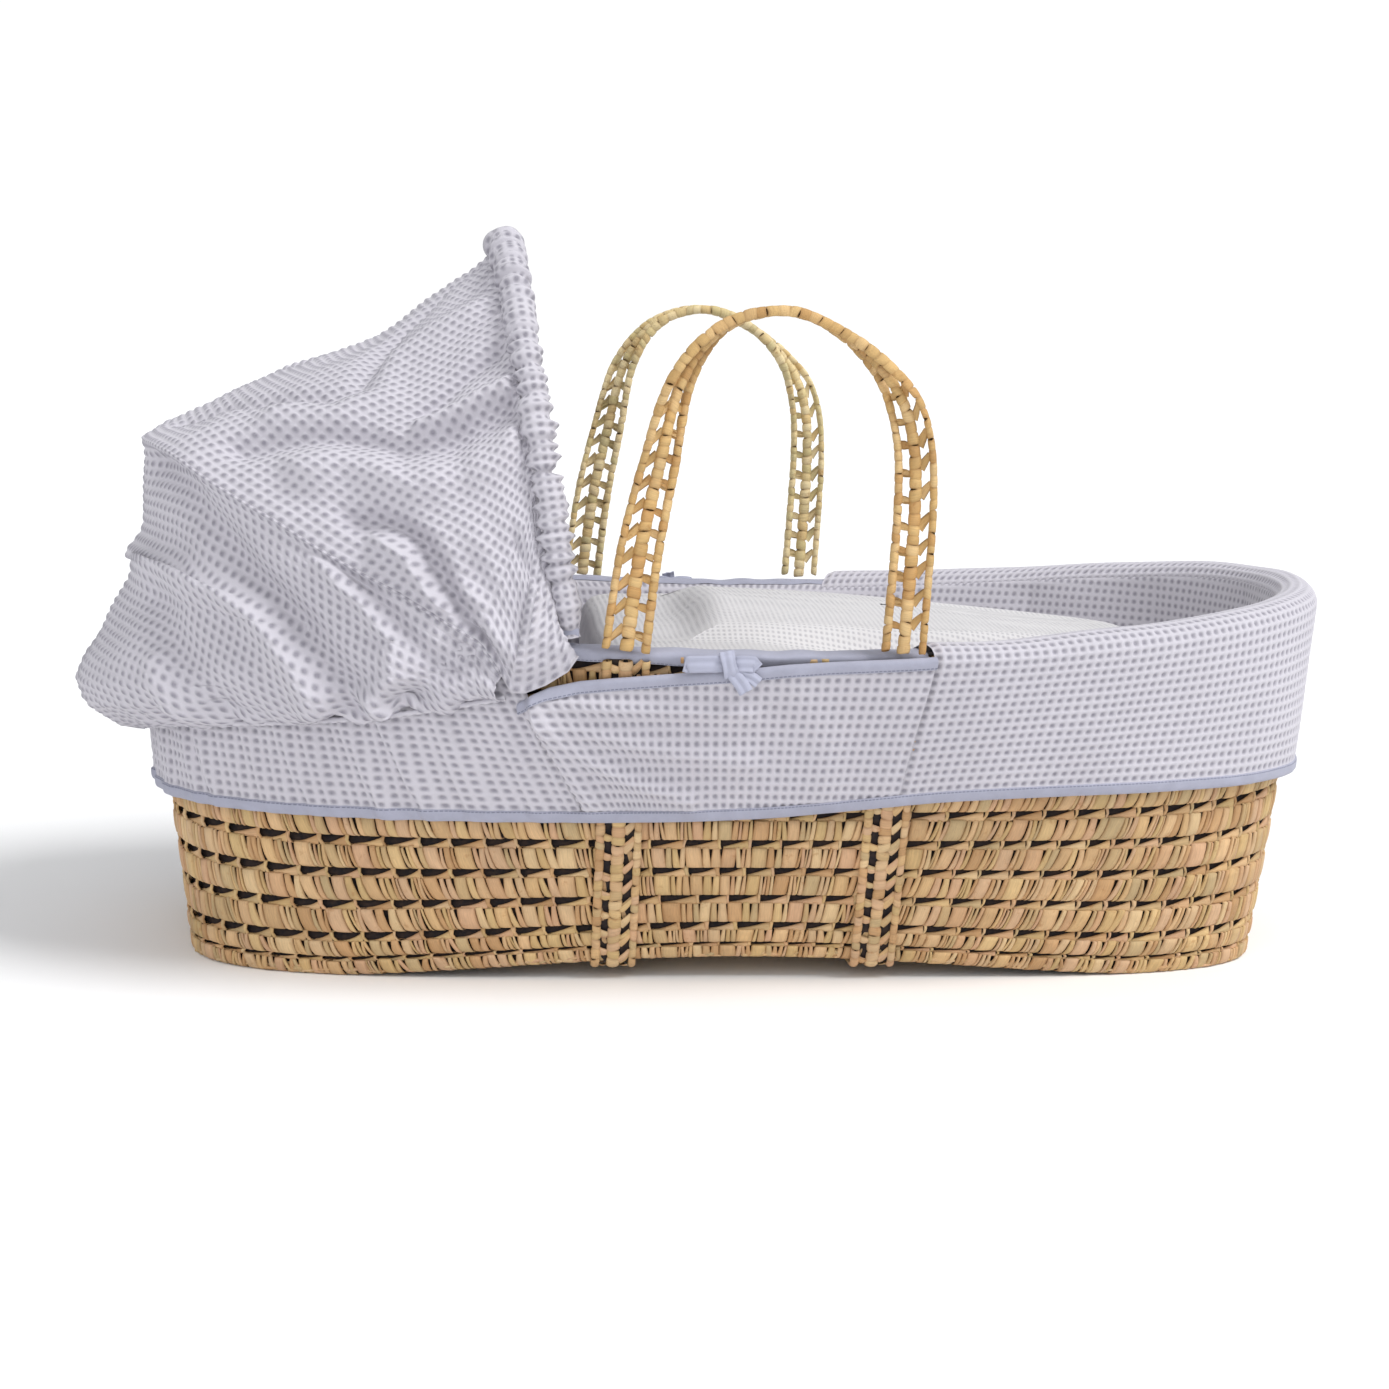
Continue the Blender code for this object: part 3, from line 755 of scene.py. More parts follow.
def lattice(patches, rng, path, across, up, spans, period=0.0160):
    """Leaves that cross the gaps between cords. Each span is (from, to, rise, half width, taper)."""
    lengths = lengths_along(path)
    t = np.linspace(0, 1, 6)
    for start, end, rise, half, taper in spans:
        at = period * rng.uniform(0.3, 0.7)
        while at < lengths[-1] - period * 0.4:
            for _ in range(2):
                lift, place = rng.uniform(-0.0006, 0.0006), at + rng.normal(0, 0.0007)
                s = np.clip(place + rise * (t - 0.5), 0, lengths[-1])
                centre, w, n = (at_lengths(s, lengths, values) for values in (path, across, up))
                bow_up = lift + 0.0012 * np.sin(pi * t)
                line = centre + w * mix(start, end, t)[:, None] + unit(n) * bow_up[:, None]
                tangent = unit(np.gradient(line, axis=0))
                side = np.cross(unit(n), tangent)
                width = half * mix(1.0, taper, t) * rng.uniform(0.8, 1.1)
                ribbons(
                    patches, line[None], -(side * width[:, None])[None], unit(n)[None], rng.random(1),
                    crown=0.0003, edge=0.0004,
                )
            at += period * rng.uniform(0.88, 1.12)


# Across a strap that is 1 wide: the three cords' middles and half widths
CORDS = ((-0.405, 0.100), (-0.012, 0.146), (0.410, 0.088))
SPANS = ((-0.33, -0.13, 0.0015, 0.0029, 0.75), (0.10, 0.35, -0.0090, 0.0033, 0.55))


def make_straps():
    """Each strap runs down the front wall, under the base and up the rear wall."""
    for name, x in (("head", -0.090), ("foot", 0.090)):
        rng = np.random.default_rng(61 if name == "head" else 67)
        z = np.array((0.2255, 0.17, 0.11, 0.05, 0.016, 0.0062))
        front = [(x, -wall_y(x, h, 0.0032), h) for h in z]
        turn = [(x, -wall_y(x, 0.0048) + 0.0035, 0.0024)]
        half = front + turn + [(x, y, 0.0021) for y in (-0.10, -0.05, 0.0)]
        whole = np.array(half + [(p[0], -p[1], p[2]) for p in reversed(half[:-1])])
        path = resample(whole, 400)
        tangent = unit(np.gradient(path, axis=0))
        across = np.tile((0.031, 0.0, 0.0), (len(path), 1))
        up = unit(np.cross(tangent, across))
        patches = Patches()
        for offset, halfw in CORDS:
            cord(patches, rng, path, across, up, offset, halfw, 0.0021)
        lattice(patches, rng, path, across, up, SPANS, 0.0150)
        # A strip in the painted shadow material behind the cords, so that the gaps between them show shade
        shadow_strip = path - up * 0.0020
        ribbons(patches, shadow_strip[None, ::4], across[None, ::4] * 0.42, up[None, ::4], [0.0], 0.0, 0.0, mat=1)
        node = f"carry_strap_{name}"
        piece = patches.piece(f"woven_strap_{name}", "basket", "palm_leaf", (PALM, SHADOW), (node,))
        piece.data.flip_normals()


def make_handle(name, side, seed, mat, slot):
    rng = np.random.default_rng(seed)
    whole = resample(HANDLE_PATH, 300)
    y = np.full(300, side * HANDLE_Y)
    path = np.stack((whole[:, 0] + (REAR_HANDLE_X if side > 0 else 0.0), y, whole[:, 1]), axis=-1)
    outward = np.tile((0.0, side, 0.0), (300, 1))
    tangent = unit(np.gradient(path, axis=0))
    flat = np.cross(outward, tangent) * (-side)
    twist = np.radians(whole[:, 3])[:, None]
    across = unit(flat * np.sin(twist) + outward * np.cos(twist)) * (0.0315 * whole[:, 2:3])
    up = unit(np.cross(across, tangent))
    patches = Patches()
    for offset, half in CORDS:
        cord(patches, rng, path, across, up, offset, half, 0.0036)
    lattice(patches, rng, path, across, up, SPANS, 0.0165)
    patches.piece(f"woven_{name}", name, slot, (mat,), (name,))


# Cloth


def waffle_relief(u, v, cell, depth):
    """Hollows of the waffle, one to a cell, as depths below the cloth's face."""
    across, along = (0.5 - 0.5 * np.cos(2 * pi * part / cell) for part in (u, v))
    return -depth * (across * along) ** 0.6


def cloth(name, grid, u, v, mats, depth=0.0014, cell=WAFFLE, closed=False, flip=False, body="basket",
          slot="waffle_cotton", replaces=(), lift=None):
    """A sheet through a grid of points, with hollows pressed into it. u and v are lengths along it."""
    up = normals(grid, closed)
    if flip:
        up = -up
    relief = waffle_relief(u, v, cell, depth)
    if lift is not None:
        relief = relief + lift
    grid = grid + up * relief[..., None]
    faces = quads(*grid.shape[:2], closed=closed)
    if flip:
        faces = faces[:, ::-1]
    patches = Patches()
    facts = np.stack(np.broadcast_arrays(u, v, 0.0), axis=-1)
    patches.add(grid, faces, facts)
    return patches.piece(name, body, slot, mats, replaces)


def skirt_sway(steps, z):
    """How far the hanging skirt stands off its CAD place: soft waves, with puckers under the hood."""
    x = rim_x(steps)
    hang = smooth(0.0, 0.05, rim_z(x) - z)
    u = steps * STEP
    calm = 0.0009 * ripple(u, z, 0.10, 5)
    fall = u + 0.25 * z
    pucker = 0.0022 * ripple(fall, z * 0.2, 0.034, 6, spread=0.5)
    pucker = pucker + 0.0012 * ripple(fall, z * 0.3, 0.015, 7, spread=0.5)
    return hang * np.maximum(calm + smooth(-0.10, -0.19, x) * pucker, -0.0008)


def slot_lean(steps, rise):
    """Steps moved so that the slots' head ends slant: lower points lie nearer mid length."""
    lean = 0.58 * (1 - np.clip(rise, 0, 1))
    front = smooth(25.2, 27.0, steps) * smooth(29.0, 27.1, steps)
    rear = smooth(14.8, 13.0, steps) * smooth(11.0, 12.9, steps)
    return steps + lean * (front - rear)


def rim_profile(steps, count):
    """A grid from the hem up the outside, over the padded rim and down to the liner's inner face."""
    x = rim_x(steps)
    bottom, top = hem_z(x) + BINDING_TALL - 0.0008, rim_z(x) - 0.006
    straight = (top - bottom).mean()
    arc = 0.0464
    v = np.linspace(0, straight + arc, count)[:, None]
    rising = np.clip(v / straight, 0, 1)
    angle = np.clip((v - straight) / arc, 0, 1) * pi
    z = mix(bottom, top, rising) + 0.0145 * np.sin(angle)
    out = np.where(v < straight, SKIRT_OUT, -0.00645 + 0.01505 * np.cos(angle))
    places = slot_lean(steps[None] + 0 * v, rising * 1.02)
    out = out + skirt_sway(places, z) * (v < straight * 1.05)
    puff = 0.0012 * ripple(steps[None] * STEP + 0 * v, v, 0.09, 9) * np.sin(angle)
    return wall(places, z + puff, out), np.broadcast_to(v, z.shape)


def make_skirts():
    for name, first, last in (("skirt_head", 13, 27), ("skirt_foot", 32, 48)):
        count = int((last - first) * STEP / 0.00125)
        steps = np.linspace(first + 0.006, last - 0.006, count)
        grid, v = rim_profile(steps, 128)
        u = np.broadcast_to(steps[None] * STEP, v.shape)
        ends = (steps - first - 0.006, steps - last + 0.006)
        crease = sum(np.exp(-((end * STEP / 0.003) ** 2)) for end in ends)
        lift = -0.0016 * crease[None] + 0 * v
        piece = cloth(f"{name}_cloth", grid, u, v, (FABRIC,), replaces=(name,), lift=lift)
    for side, (first, last) in SLOT.items():
        steps = np.linspace(first + 0.006, last - 0.006, int((last - first) * STEP / 0.00125))
        x = rim_x(steps)
        bottom, top = hem_z(x) + BINDING_TALL - 0.0008, flap_top_z(x) - 0.0050
        share = np.linspace(0, 1, 76)[:, None]
        z = mix(bottom, top, share)
        places = slot_lean(steps[None] + 0 * z, share)
        out = SKIRT_OUT + skirt_sway(places, z) + flap_lean(z) + flap_folds(rim_x(places), z)
        grid = wall(places, z, out)
        u, v = np.broadcast_arrays(steps[None] * STEP, z)
        piece = cloth(f"skirt_flap_{side}_cloth", grid, u, v, (FABRIC,), replaces=(f"skirt_flap_{side}",))


def flap_lean(z):
    return 0.0022 * smooth(0.15, 0.215, z)


FLAP_FOLDS = (
    (0.0052, 0.007, ((-0.150, 0.198), (-0.110, 0.194), (-0.060, 0.192), (-0.010, 0.190))),
    (0.0062, 0.009, ((-0.147, 0.190), (-0.115, 0.176), (-0.070, 0.164), (-0.010, 0.156))),
    (0.0064, 0.008, ((-0.145, 0.183), (-0.120, 0.158), (-0.090, 0.140), (-0.050, 0.128))),
    (0.0048, 0.007, ((-0.144, 0.176), (-0.132, 0.148), (-0.122, 0.126))),
    (0.0026, 0.014, ((0.020, 0.205), (0.045, 0.170), (0.050, 0.140))),
)


def flap_folds(x, z):
    """Folds that fan out from the head end of the slot."""
    return np.maximum(creases(x, z, FLAP_FOLDS), -0.0004) * smooth(0.0, 0.012, x + 0.156)


def tape(name, points, u, v, edge, replaces=(), closed=False):
    patches = Patches()
    facts = np.stack(np.broadcast_arrays(u, v, edge), axis=-1)
    patches.add(points, quads(*points.shape[:2], closed=closed), facts)
    return patches.piece(name, "basket", "binding_tape", (BINDING,), replaces)


# Sections of the tapes, as distances out and heights: the folded hem tape from its lower edge, and the slots'
# inner tape over the woven border, from outside to inside and measured from the rim
HEM_TAPE = (
    (-0.0024, 0.0006), (-0.0007, 0.0), (0.0008, 0.0007), (0.0014, 0.0026), (0.0014, 0.0060), (0.0010, 0.0078),
    (-0.0006, 0.0085),
)
LINER_TAPE = (
    (0.0010, -0.0062), (0.0013, -0.0035), (0.0010, -0.0005), (-0.0010, 0.0016), (-0.0045, 0.0026),
    (-0.0090, 0.0034), (-0.0130, 0.0036), (-0.0160, 0.0024), (-0.0172, 0.0002),
)


def make_bindings():
    section = resample(np.array(HEM_TAPE), 12)
    steps = np.linspace(0, SEGMENTS, 1201)[:-1]
    x = rim_x(steps)
    out, rise = section[:, :1], section[:, 1:]
    z = hem_z(x)[None] + rise
    extra = skirt_sway(steps[None] + 0 * z, z) + flap_folds_near(steps, x, z)
    fine = 0.00025 * ripple(steps[None] * STEP, rise, 0.012, 15)
    points = wall(steps[None] + 0 * z, z, SKIRT_OUT + out + extra + fine)
    edge = (rise.max() - rise) + 0 * z
    piece = tape("hem_tape", points, steps[None] * STEP, rise, edge, replaces=("hem_binding",), closed=True)
    for side, (first, last) in SLOT.items():
        steps = np.linspace(first, last, 260)
        x = rim_x(steps)
        z = (flap_top_z(x) - BINDING_TALL)[None] + rise
        extra = flap_lean(z) + flap_folds(x[None] + 0 * z, z)
        points = wall(steps[None] + 0 * z, z, SKIRT_OUT + out[::-1] + extra)
        edge = rise + 0 * z
        lengths = steps[None] * STEP
        piece = tape(f"slot_tape_{side}", points, lengths, rise, edge, replaces=(f"slot_binding_{side}",))
        profile = resample(np.array(LINER_TAPE), 26)
        crease = 0.0004 * ripple(lengths, profile[:, 1:] * 3, 0.03, 16)
        z = rim_z(x)[None] + profile[:, 1:] + crease * 1.5
        points = wall(steps[None] + 0 * z, z, profile[:, :1] + np.minimum(crease, 0.0002))
        edge = np.linspace(0, 0.027, 26)[:, None] + 0 * z
        piece = tape(f"liner_tape_{side}", points, lengths, edge, edge, replaces=(f"liner_binding_{side}",))


def flap_folds_near(steps, x, z):
    """The flap's folds, faded out at the ends of the slots, for the hem under them."""
    front = smooth(26.8, 27.1, steps) * smooth(32.2, 31.9, steps)
    rear = smooth(7.8, 8.1, steps) * smooth(13.2, 12.9, steps)
    return (front + rear)[None] * flap_folds(x[None] + 0 * z, z)


# The bow's two loops, two tails and knot: a half width, then points (along, out, up) from the knot, in mm
BOW_STRIPS = (
    (5.4, (0, 0, 0), (-7, 0.8, 0.2), (-16, 1.0, 0.0), (-25, 0.9, -0.4), (-27.5, 0.0, -0.6), (-24, -0.8, -0.6),
     (-12, -0.8, -0.3), (0, 0, 0)),
    (5.2, (0, 0, 0), (6, 0.9, 0.4), (11, 1.1, 0.4), (15, 0.6, 0.0), (15.6, -0.2, -0.2), (10, -0.8, -0.2),
     (0, 0, 0)),
    (4.6, (1, 0.4, -3), (4, 1.4, -8), (8, 1.8, -13), (11, 1.4, -18)),
    (3.8, (2, 0.2, -3), (8, 0.6, -6), (15, 0.6, -9), (19, 0.4, -12)),
    (5.0, (-2.4, 0.8, 8.4), (-1.6, 2.6, 4.5), (-0.6, 3.0, 0), (0.6, 2.6, -4.5), (1.6, 0.8, -8.0)),
)


def make_bow(side):
    """A tie: two flat loops, a knot and two tails of tape, outside the slot."""
    sign = -1 if side == "front" else 1
    rng = np.random.default_rng(81)
    middle = np.array((-0.0245, sign * (wall_y(-0.0245, 0.222, SKIRT_OUT) + 0.0044), 0.2255))
    patches = Patches()
    for half, *points in BOW_STRIPS:
        line = resample(np.array(points, float) / 1000, 24)
        path = middle + line * np.array((1.0, sign, 1.0))
        outward = np.array((0.0, sign, 0.0))
        tangent = unit(np.gradient(path, axis=0))
        across = unit(np.cross(tangent, outward) + np.array((0.0, 0.0, 1e-6)))
        width = half / 1000 * (1 - 0.20 * np.exp(-((np.linalg.norm(line, axis=1) / 0.004) ** 2)))
        t = np.linspace(-1, 1, 9)
        up = unit(np.cross(across, tangent))
        crease = 0.0005 * np.cos(t * 6 + rng.uniform(0, 3))
        grid = path[:, None] + across[:, None] * (width[:, None] * t)[..., None]
        grid = grid + up[:, None] * crease[None, :, None]
        facts = np.empty((*grid.shape[:2], 3))
        facts[..., 0] = np.linspace(0, 0.03, len(path))[:, None]
        facts[..., 1] = t * half / 1000
        facts[..., 2] = 0.02
        patches.add(grid, quads(*grid.shape[:2]), facts)
    piece = patches.piece(f"tie_{side}", "basket", "binding_tape", (TIE,), (f"bow_{side}",))
    thick = piece.modifiers.new("thickness", "SOLIDIFY")
    thick.thickness, thick.offset = 0.0007, 0.0


def make_liner():
    """The padded wall: quilted panels between upright seams."""
    steps = np.linspace(0, SEGMENTS, 801)[:-1]
    x = rim_x(steps)
    foot, middle, shoulder, crest = 0.0135 + 0 * x, 0.12 + 0 * x, rim_z(x) - 0.0040, rim_z(x) + 0.0005
    section = (
        (foot, LINER_OUT - 0.001), (middle, LINER_OUT), (shoulder, LINER_OUT), (crest, -0.0160),
        (shoulder, LINER_IN), (middle, LINER_IN - 0.0005), (foot, LINER_IN - 0.001),
    )
    rows = np.stack([np.stack((z, out + 0 * x), axis=-1) for z, out in section])
    counts = (6, 6, 3, 3, 40, 36)
    parts = [np.linspace(a, b, count, endpoint=False) for a, b, count in zip(rows, rows[1:], counts)]
    profile = np.concatenate([*parts, rows[-1:]])
    z, out = profile[..., 0], profile[..., 1]
    quilt = np.abs(np.sin(pi * (steps - 0.5) / 2.0)) ** 0.6
    inner = np.concatenate((np.zeros(18), np.ones(len(z) - 18)))[:, None]
    taper = smooth(0.0, 0.02, rim_z(x)[None] - z) * smooth(0.02, 0.05, z)
    relief = (0.0030 * quilt - 0.0015)[None] + 0.0008 * ripple(steps[None] * STEP, z, 0.06, 23)
    out = out - inner * taper * relief
    grid = wall(steps[None] + 0 * z, z, out)
    u, v = np.broadcast_arrays(steps[None] * STEP, z)
    piece = cloth("liner_pad", grid, u, v, (FABRIC,), depth=0.0, closed=True, replaces=("liner_wall",))


def make_mattress():
    """A flat pad with rounded edges, to the size of its CAD node."""
    low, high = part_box("mattress")
    bottom, top = low.z - CENTRE_Z, high.z - CENTRE_Z
    steps = np.linspace(0, SEGMENTS, 361)[:-1]
    edge = wall(steps, (bottom + top) / 2, -0.0290)
    section = (
        (0.0, bottom), (0.5, bottom), (0.96, bottom), (0.99, bottom + 0.004), (1.0, bottom + 0.012),
        (1.0, top - 0.012), (0.985, top - 0.003), (0.95, top - 0.0005), (0.5, top), (0.25, top), (0.0, top),
    )
    flat = edge[:, :2]
    rows = [np.column_stack((flat * share, 0 * steps + z)) for share, z in section]
    fine = resample(np.stack(rows), 90)
    piece = cloth("mattress_pad", fine, fine[..., 0], fine[..., 1], (MATTRESS,), depth=0.0, closed=True,
                  slot="mattress_cotton", replaces=("mattress",))


def make_coverlet():
    """A crowned quilt whose edges tuck down inside the liner."""
    head = -0.1085 + 0.006  # the CAD edge and the quilt's inset from it
    steps = np.linspace(0, SEGMENTS, 721)[:-1]

    def top_z(x, y=0.0):
        return 0.2445 - 0.028 * np.maximum(0.0, x / 0.35) ** 1.2 - 0.022 * (np.abs(y) / 0.18) ** 2.2

    rows = []
    sections = (  # a height, or a drop from the top where it is not above 0, then an inset
        (0.056, 0.0), (0.12, 0.0), (-0.040, 0.0002), (-0.022, 0.0015), (-0.012, 0.0055), (-0.0055, 0.014),
        (-0.0018, 0.032), (0.0, 0.060),
    )
    middle = np.array((0.115, 0.0))
    for drop, inset in sections:
        z = top_z(rim_x(steps), 0.165) + drop if drop <= 0 else drop + 0 * steps
        edge = wall(steps, z, -0.0262 - inset)
        x = np.maximum(edge[:, 0], head + inset)
        y = edge[:, 1]
        corner = smooth(0.03, 0.0, x - head - inset) * 0.004
        rows.append(np.stack((x, y * (1 - corner), z), axis=-1))
    last = rows[-1]
    for share in (0.85, 0.7, 0.5, 0.25, 0.02):
        flat = middle + (last[:, :2] - middle) * share
        rows.append(np.stack((flat[:, 0], flat[:, 1], top_z(flat[:, 0], flat[:, 1])), axis=-1))
    grid = resample(np.stack(rows), 170)
    crown = ripple(grid[..., 0], grid[..., 1], 0.16, 31) * 0.0018
    inner = smooth(0.0, 0.02, grid[..., 2] - 0.19)
    grid[..., 2] += crown * inner
    v = grid[..., 1] + np.minimum(0, grid[..., 2] - 0.22)
    piece = cloth("coverlet_quilt", grid, grid[..., 0], v, (COVER,), depth=0.0003, cell=0.0042, closed=True,
                  body="coverlet", slot="coverlet_cotton", replaces=("coverlet",))


# Hood


def hoop_point(turn):
    """Points round the hoop, whose turn is -1 at its front foot, 0 at its top and 1 at its rear foot."""
    angle = turn * pi / 2
    y = HOOP_Y * np.sign(turn) * np.abs(np.sin(angle)) ** (2 / HOOP_N)
    up = HOOP_HEIGHT * np.abs(np.cos(angle)) ** (2 / HOOP_N)
    return np.stack((HOOP_X - up * sin(HOOP_LEAN), y, HOOP_Z + up * cos(HOOP_LEAN)), axis=-1)


# The hood's lower lines, by steps round the outline from the head end: the seam, then the free edge to the
# hoop's foot, and the gathered edge under the back panel
SEAM_REACH = (
    0.0, 1.0, 2.0, 2.6, 3.0, 3.35, 3.81, 4.37, 5.04, 5.79, 6.30, 6.69, 6.86, 6.98, 7.15, 7.41, 7.70, 7.86,
)
SEAM_Z = (
    0.352, 0.353, 0.352, 0.349, 0.344, 0.3343, 0.3228, 0.3084, 0.2871, 0.2664, 0.2487, 0.2358, 0.2196, 0.203,
    0.203, 0.2087, 0.2185, 0.23,
)
EDGE_REACH = (0.0, 1.5, 2.63, 3.9, 5.3, 6.35, 6.98)
EDGE_Z = (0.150, 0.156, 0.1662, 0.1743, 0.1827, 0.1935, 0.2004)
SEAM_END = 6.9  # where the seam meets the gathered edge


def reach_of(turn):
    """Steps from the head end that a turn of the hood meets: the seam takes turns up to 0.86."""
    t = np.abs(turn)
    return np.where(t < 0.86, t / 0.86 * SEAM_END, mix(SEAM_END, 7.86, (t - 0.86) / 0.14))


def seam_at(side, reach):
    """Points on the seam; side is -1 at the front and 1 at the rear."""
    z = np.interp(reach, SEAM_REACH, SEAM_Z)
    out = 0.0126 * np.minimum(1.0, reach / 7.0) ** 4 - 0.0132 * np.maximum(0.0, 1 - (reach / 3.0) ** 2)
    return wall(SEGMENTS / 2 - side * reach, z, out)


# Folds of the hood's two panels: a height, a width and then points along the fold. The top panel's points are
# (turn, share from hoop to seam) and the back panel's (reach, share of height)
TOP_FOLDS = (
    (0.005, 0.01, (0.1, 0.07), (0.147, 0.185), (0.213, 0.305), (0.317, 0.385), (0.38, 0.46), (0.38, 0.55),
     (0.31, 0.67), (0.22, 0.79), (0.18, 0.89)),
    (-0.004, 0.014, (0.36, 0.1), (0.33, 0.215), (0.34, 0.31), (0.43, 0.41), (0.43, 0.56), (0.37, 0.7)),
    (0.0045, 0.008, (0.51, 0), (0.51, 0.11), (0.51, 0.195), (0.517, 0.275), (0.52, 0.36)),
    (-0.008, 0.007, (0.61, 0.05), (0.583, 0.165), (0.57, 0.24), (0.55, 0.32), (0.533, 0.37)),
    (0.006, 0.01, (0.66, 0.05), (0.637, 0.15), (0.613, 0.27), (0.58, 0.41), (0.553, 0.495), (0.513, 0.545),
     (0.483, 0.605), (0.447, 0.695), (0.423, 0.765), (0.403, 0.855)),
    (-0.0065, 0.014, (0.71, 0.1), (0.703, 0.23), (0.65, 0.42), (0.62, 0.565), (0.56, 0.64), (0.52, 0.69),
     (0.5, 0.78)),
    (0.009, 0.011, (0.617, 0.815), (0.633, 0.76), (0.66, 0.725), (0.693, 0.715), (0.73, 0.755),
     (0.763, 0.83), (0.797, 0.885), (0.823, 0.935)),
    (-0.007, 0.008, (0.66, 0.83), (0.7, 0.83), (0.73, 0.875), (0.77, 0.935)),
    (0.0035, 0.01, (0.833, 0.3), (0.797, 0.595), (0.793, 0.72)),
    (-0.006, 0.009, (0.9, 0.35), (0.897, 0.62), (0.86, 0.82), (0.83, 0.9)),
)
BACK_FOLDS = (
    (-0.013, 0.013, (1.2, 0.6), (2.21, 0.57), (2.94, 0.555), (3.56, 0.565), (4.05, 0.535), (4.42, 0.44),
     (4.71, 0.31), (4.88, 0.165), (4.81, 0.04)),
    (0.011, 0.018, (1.82, 0.94), (2.83, 0.875), (3.43, 0.805), (4.05, 0.675), (4.58, 0.54), (4.99, 0.4),
     (5.2, 0.2), (5.11, 0.03)),
    (-0.0095, 0.01, (4.99, 0.93), (5.47, 0.805), (5.84, 0.595), (5.8, 0.335), (5.5, 0.14), (5.5, 0.03)),
    (0.005, 0.012, (5, 0.97), (5.45, 0.91), (6, 0.675), (6.3, 0.485)),
    (-0.007, 0.008, (5.47, 0.17), (5.59, 0.045)),
    (0.007, 0.016, (2.37, 0.49), (3.13, 0.32), (3.7, 0.135), (3.73, 0.03)),
    (0.008, 0.012, (6.6, 0.85), (6.39, 0.46), (5.98, 0.13), (5.75, 0.03)),
    (-0.004, 0.009, (2.9, 0.25), (3.2, 0.03)),
)


def fold_lines(folds, across, down):
    """Folds with their points scaled to lengths on the cloth."""
    return [(height, width, [(u * across, v * down) for u, v in points]) for height, width, *points in folds]


def lengths_down(grid):
    """Lengths along each column of a grid, from its last row."""
    steps = np.linalg.norm(np.diff(grid, axis=0), axis=-1)
    down = np.cumsum(steps[::-1], axis=0)[::-1]
    return np.concatenate((down, np.zeros((1, grid.shape[1]))))


def lengths_across(row):
    """Lengths along a row of points, from its middle."""
    along = lengths_along(row)
    return along - along[len(along) // 2]


def top_panel_grid(turns, shares):
    """From the hoop back to the seam, sagging between them."""
    tilt = np.array((-sin(HOOP_LEAN), 0.0, cos(HOOP_LEAN)))
    back = np.array((-cos(HOOP_LEAN), 0.0, -sin(HOOP_LEAN)))
    t, s = np.abs(turns)[None, :], shares[:, None]
    side = np.sign(turns)
    start = hoop_point(turns) + back * 0.0085 - tilt * (0.006 * (1 - np.abs(turns) ** 1.6))[:, None]
    end = seam_at(side, reach_of(turns))
    grid = mix(start[None], end[None], s[..., None])
    places = (0.0, 0.124, 0.221, 0.336, 0.389, 0.5, 0.611, 0.75, 0.95, 1.0)
    sags = (0.0, 0.005, 0.011, 0.0160, 0.0150, 0.009, 0.004, 0.0022, -0.001, 0.0)
    sag = np.interp(s, places, sags) * (1 - t**1.5)
    grid[..., 2] -= sag
    grid[..., 1] += side[None] * 0.016 * 4 * s * (1 - s) * t**2 * (1 - 0.5 * t**6)
    return grid


def back_panel_grid(reaches, side, shares):
    """From the gathered edge up to the seam, over one big bulge at the head end."""
    k, h = reaches[None, :], shares[:, None]
    low, high = np.interp(k, EDGE_REACH, EDGE_Z), np.interp(k, SEAM_REACH, SEAM_Z)
    places = (0.0, 0.015, 0.08, 0.158, 0.233, 0.337, 0.495, 0.584, 0.72, 0.86, 1.0)
    outs = (0.0126, 0.0300, 0.0500, 0.0555, 0.0490, 0.0320, 0.0118, -0.0030, -0.0060, -0.0095, -0.0132)
    centre = np.interp(h, places, outs)
    seam_out = 0.0126 * np.minimum(1.0, k / 7.0) ** 4
    flank = mix(0.0126, seam_out, h) + 0.0150 * np.sin(pi * h**0.62) * (1 - (k / 8.5) ** 4)
    out = mix(flank, centre, np.exp(-((k / 3.1) ** 2.6)))
    out = mix(out, seam_out - 0.0132 * np.maximum(0.0, 1 - (k / 3.0) ** 2), smooth(0.9, 1.0, h))
    z = mix(low, high, h)
    return wall(SEGMENTS / 2 - side * k + 0 * z, z, out), z


def make_casing():
    """The ruched tube of cloth round the hoop."""
    tilt = np.array((-sin(HOOP_LEAN), 0.0, cos(HOOP_LEAN)))
    hoop = hoop_point(np.linspace(-1, 1, 121))
    hoop = np.concatenate((hoop[:1] - tilt * 0.010, hoop, hoop[-1:] - tilt * 0.010))
    line = resample(hoop, 680)
    tangent = unit(np.gradient(line, axis=0))
    across = unit(np.cross(tangent, HOOP_AHEAD))
    ahead = unit(np.cross(across, tangent))
    along = lengths_along(line)
    angle = 2 * pi * np.linspace(0, 1, 49)[None, :-1]
    s = along[:, None] + 0 * angle
    a = angle + 0 * s
    fine = ripple(s, 0.005 * np.sin(a), 0.0075, 51, 0.7) + 0.7 * ripple(s, 0.010 * np.cos(a), 0.014, 52, 0.9)
    broad = ripple(s, 0.02 * np.sin(a), 0.05, 53, 0.8)
    from_end = np.minimum(s, along[-1] - s)
    radius = (0.0098 + 0.0024 * fine + 0.0014 * broad) * mix(0.62, 1.0, smooth(0.0, 0.022, from_end))
    casing = line[:, None] + across[:, None] * (radius * np.cos(a))[..., None]
    casing = casing + ahead[:, None] * (radius * np.sin(a))[..., None]
    patches = Patches()
    facts = np.stack(np.broadcast_arrays(s * 1.25, a * 0.0096, 0.0), axis=-1)
    patches.add(casing, quads(*casing.shape[:2], closed=True)[:, ::-1], facts)
    piece = patches.piece("hood_casing_cloth", "hood", "waffle_cotton", (FABRIC,), ("hood_casing",))


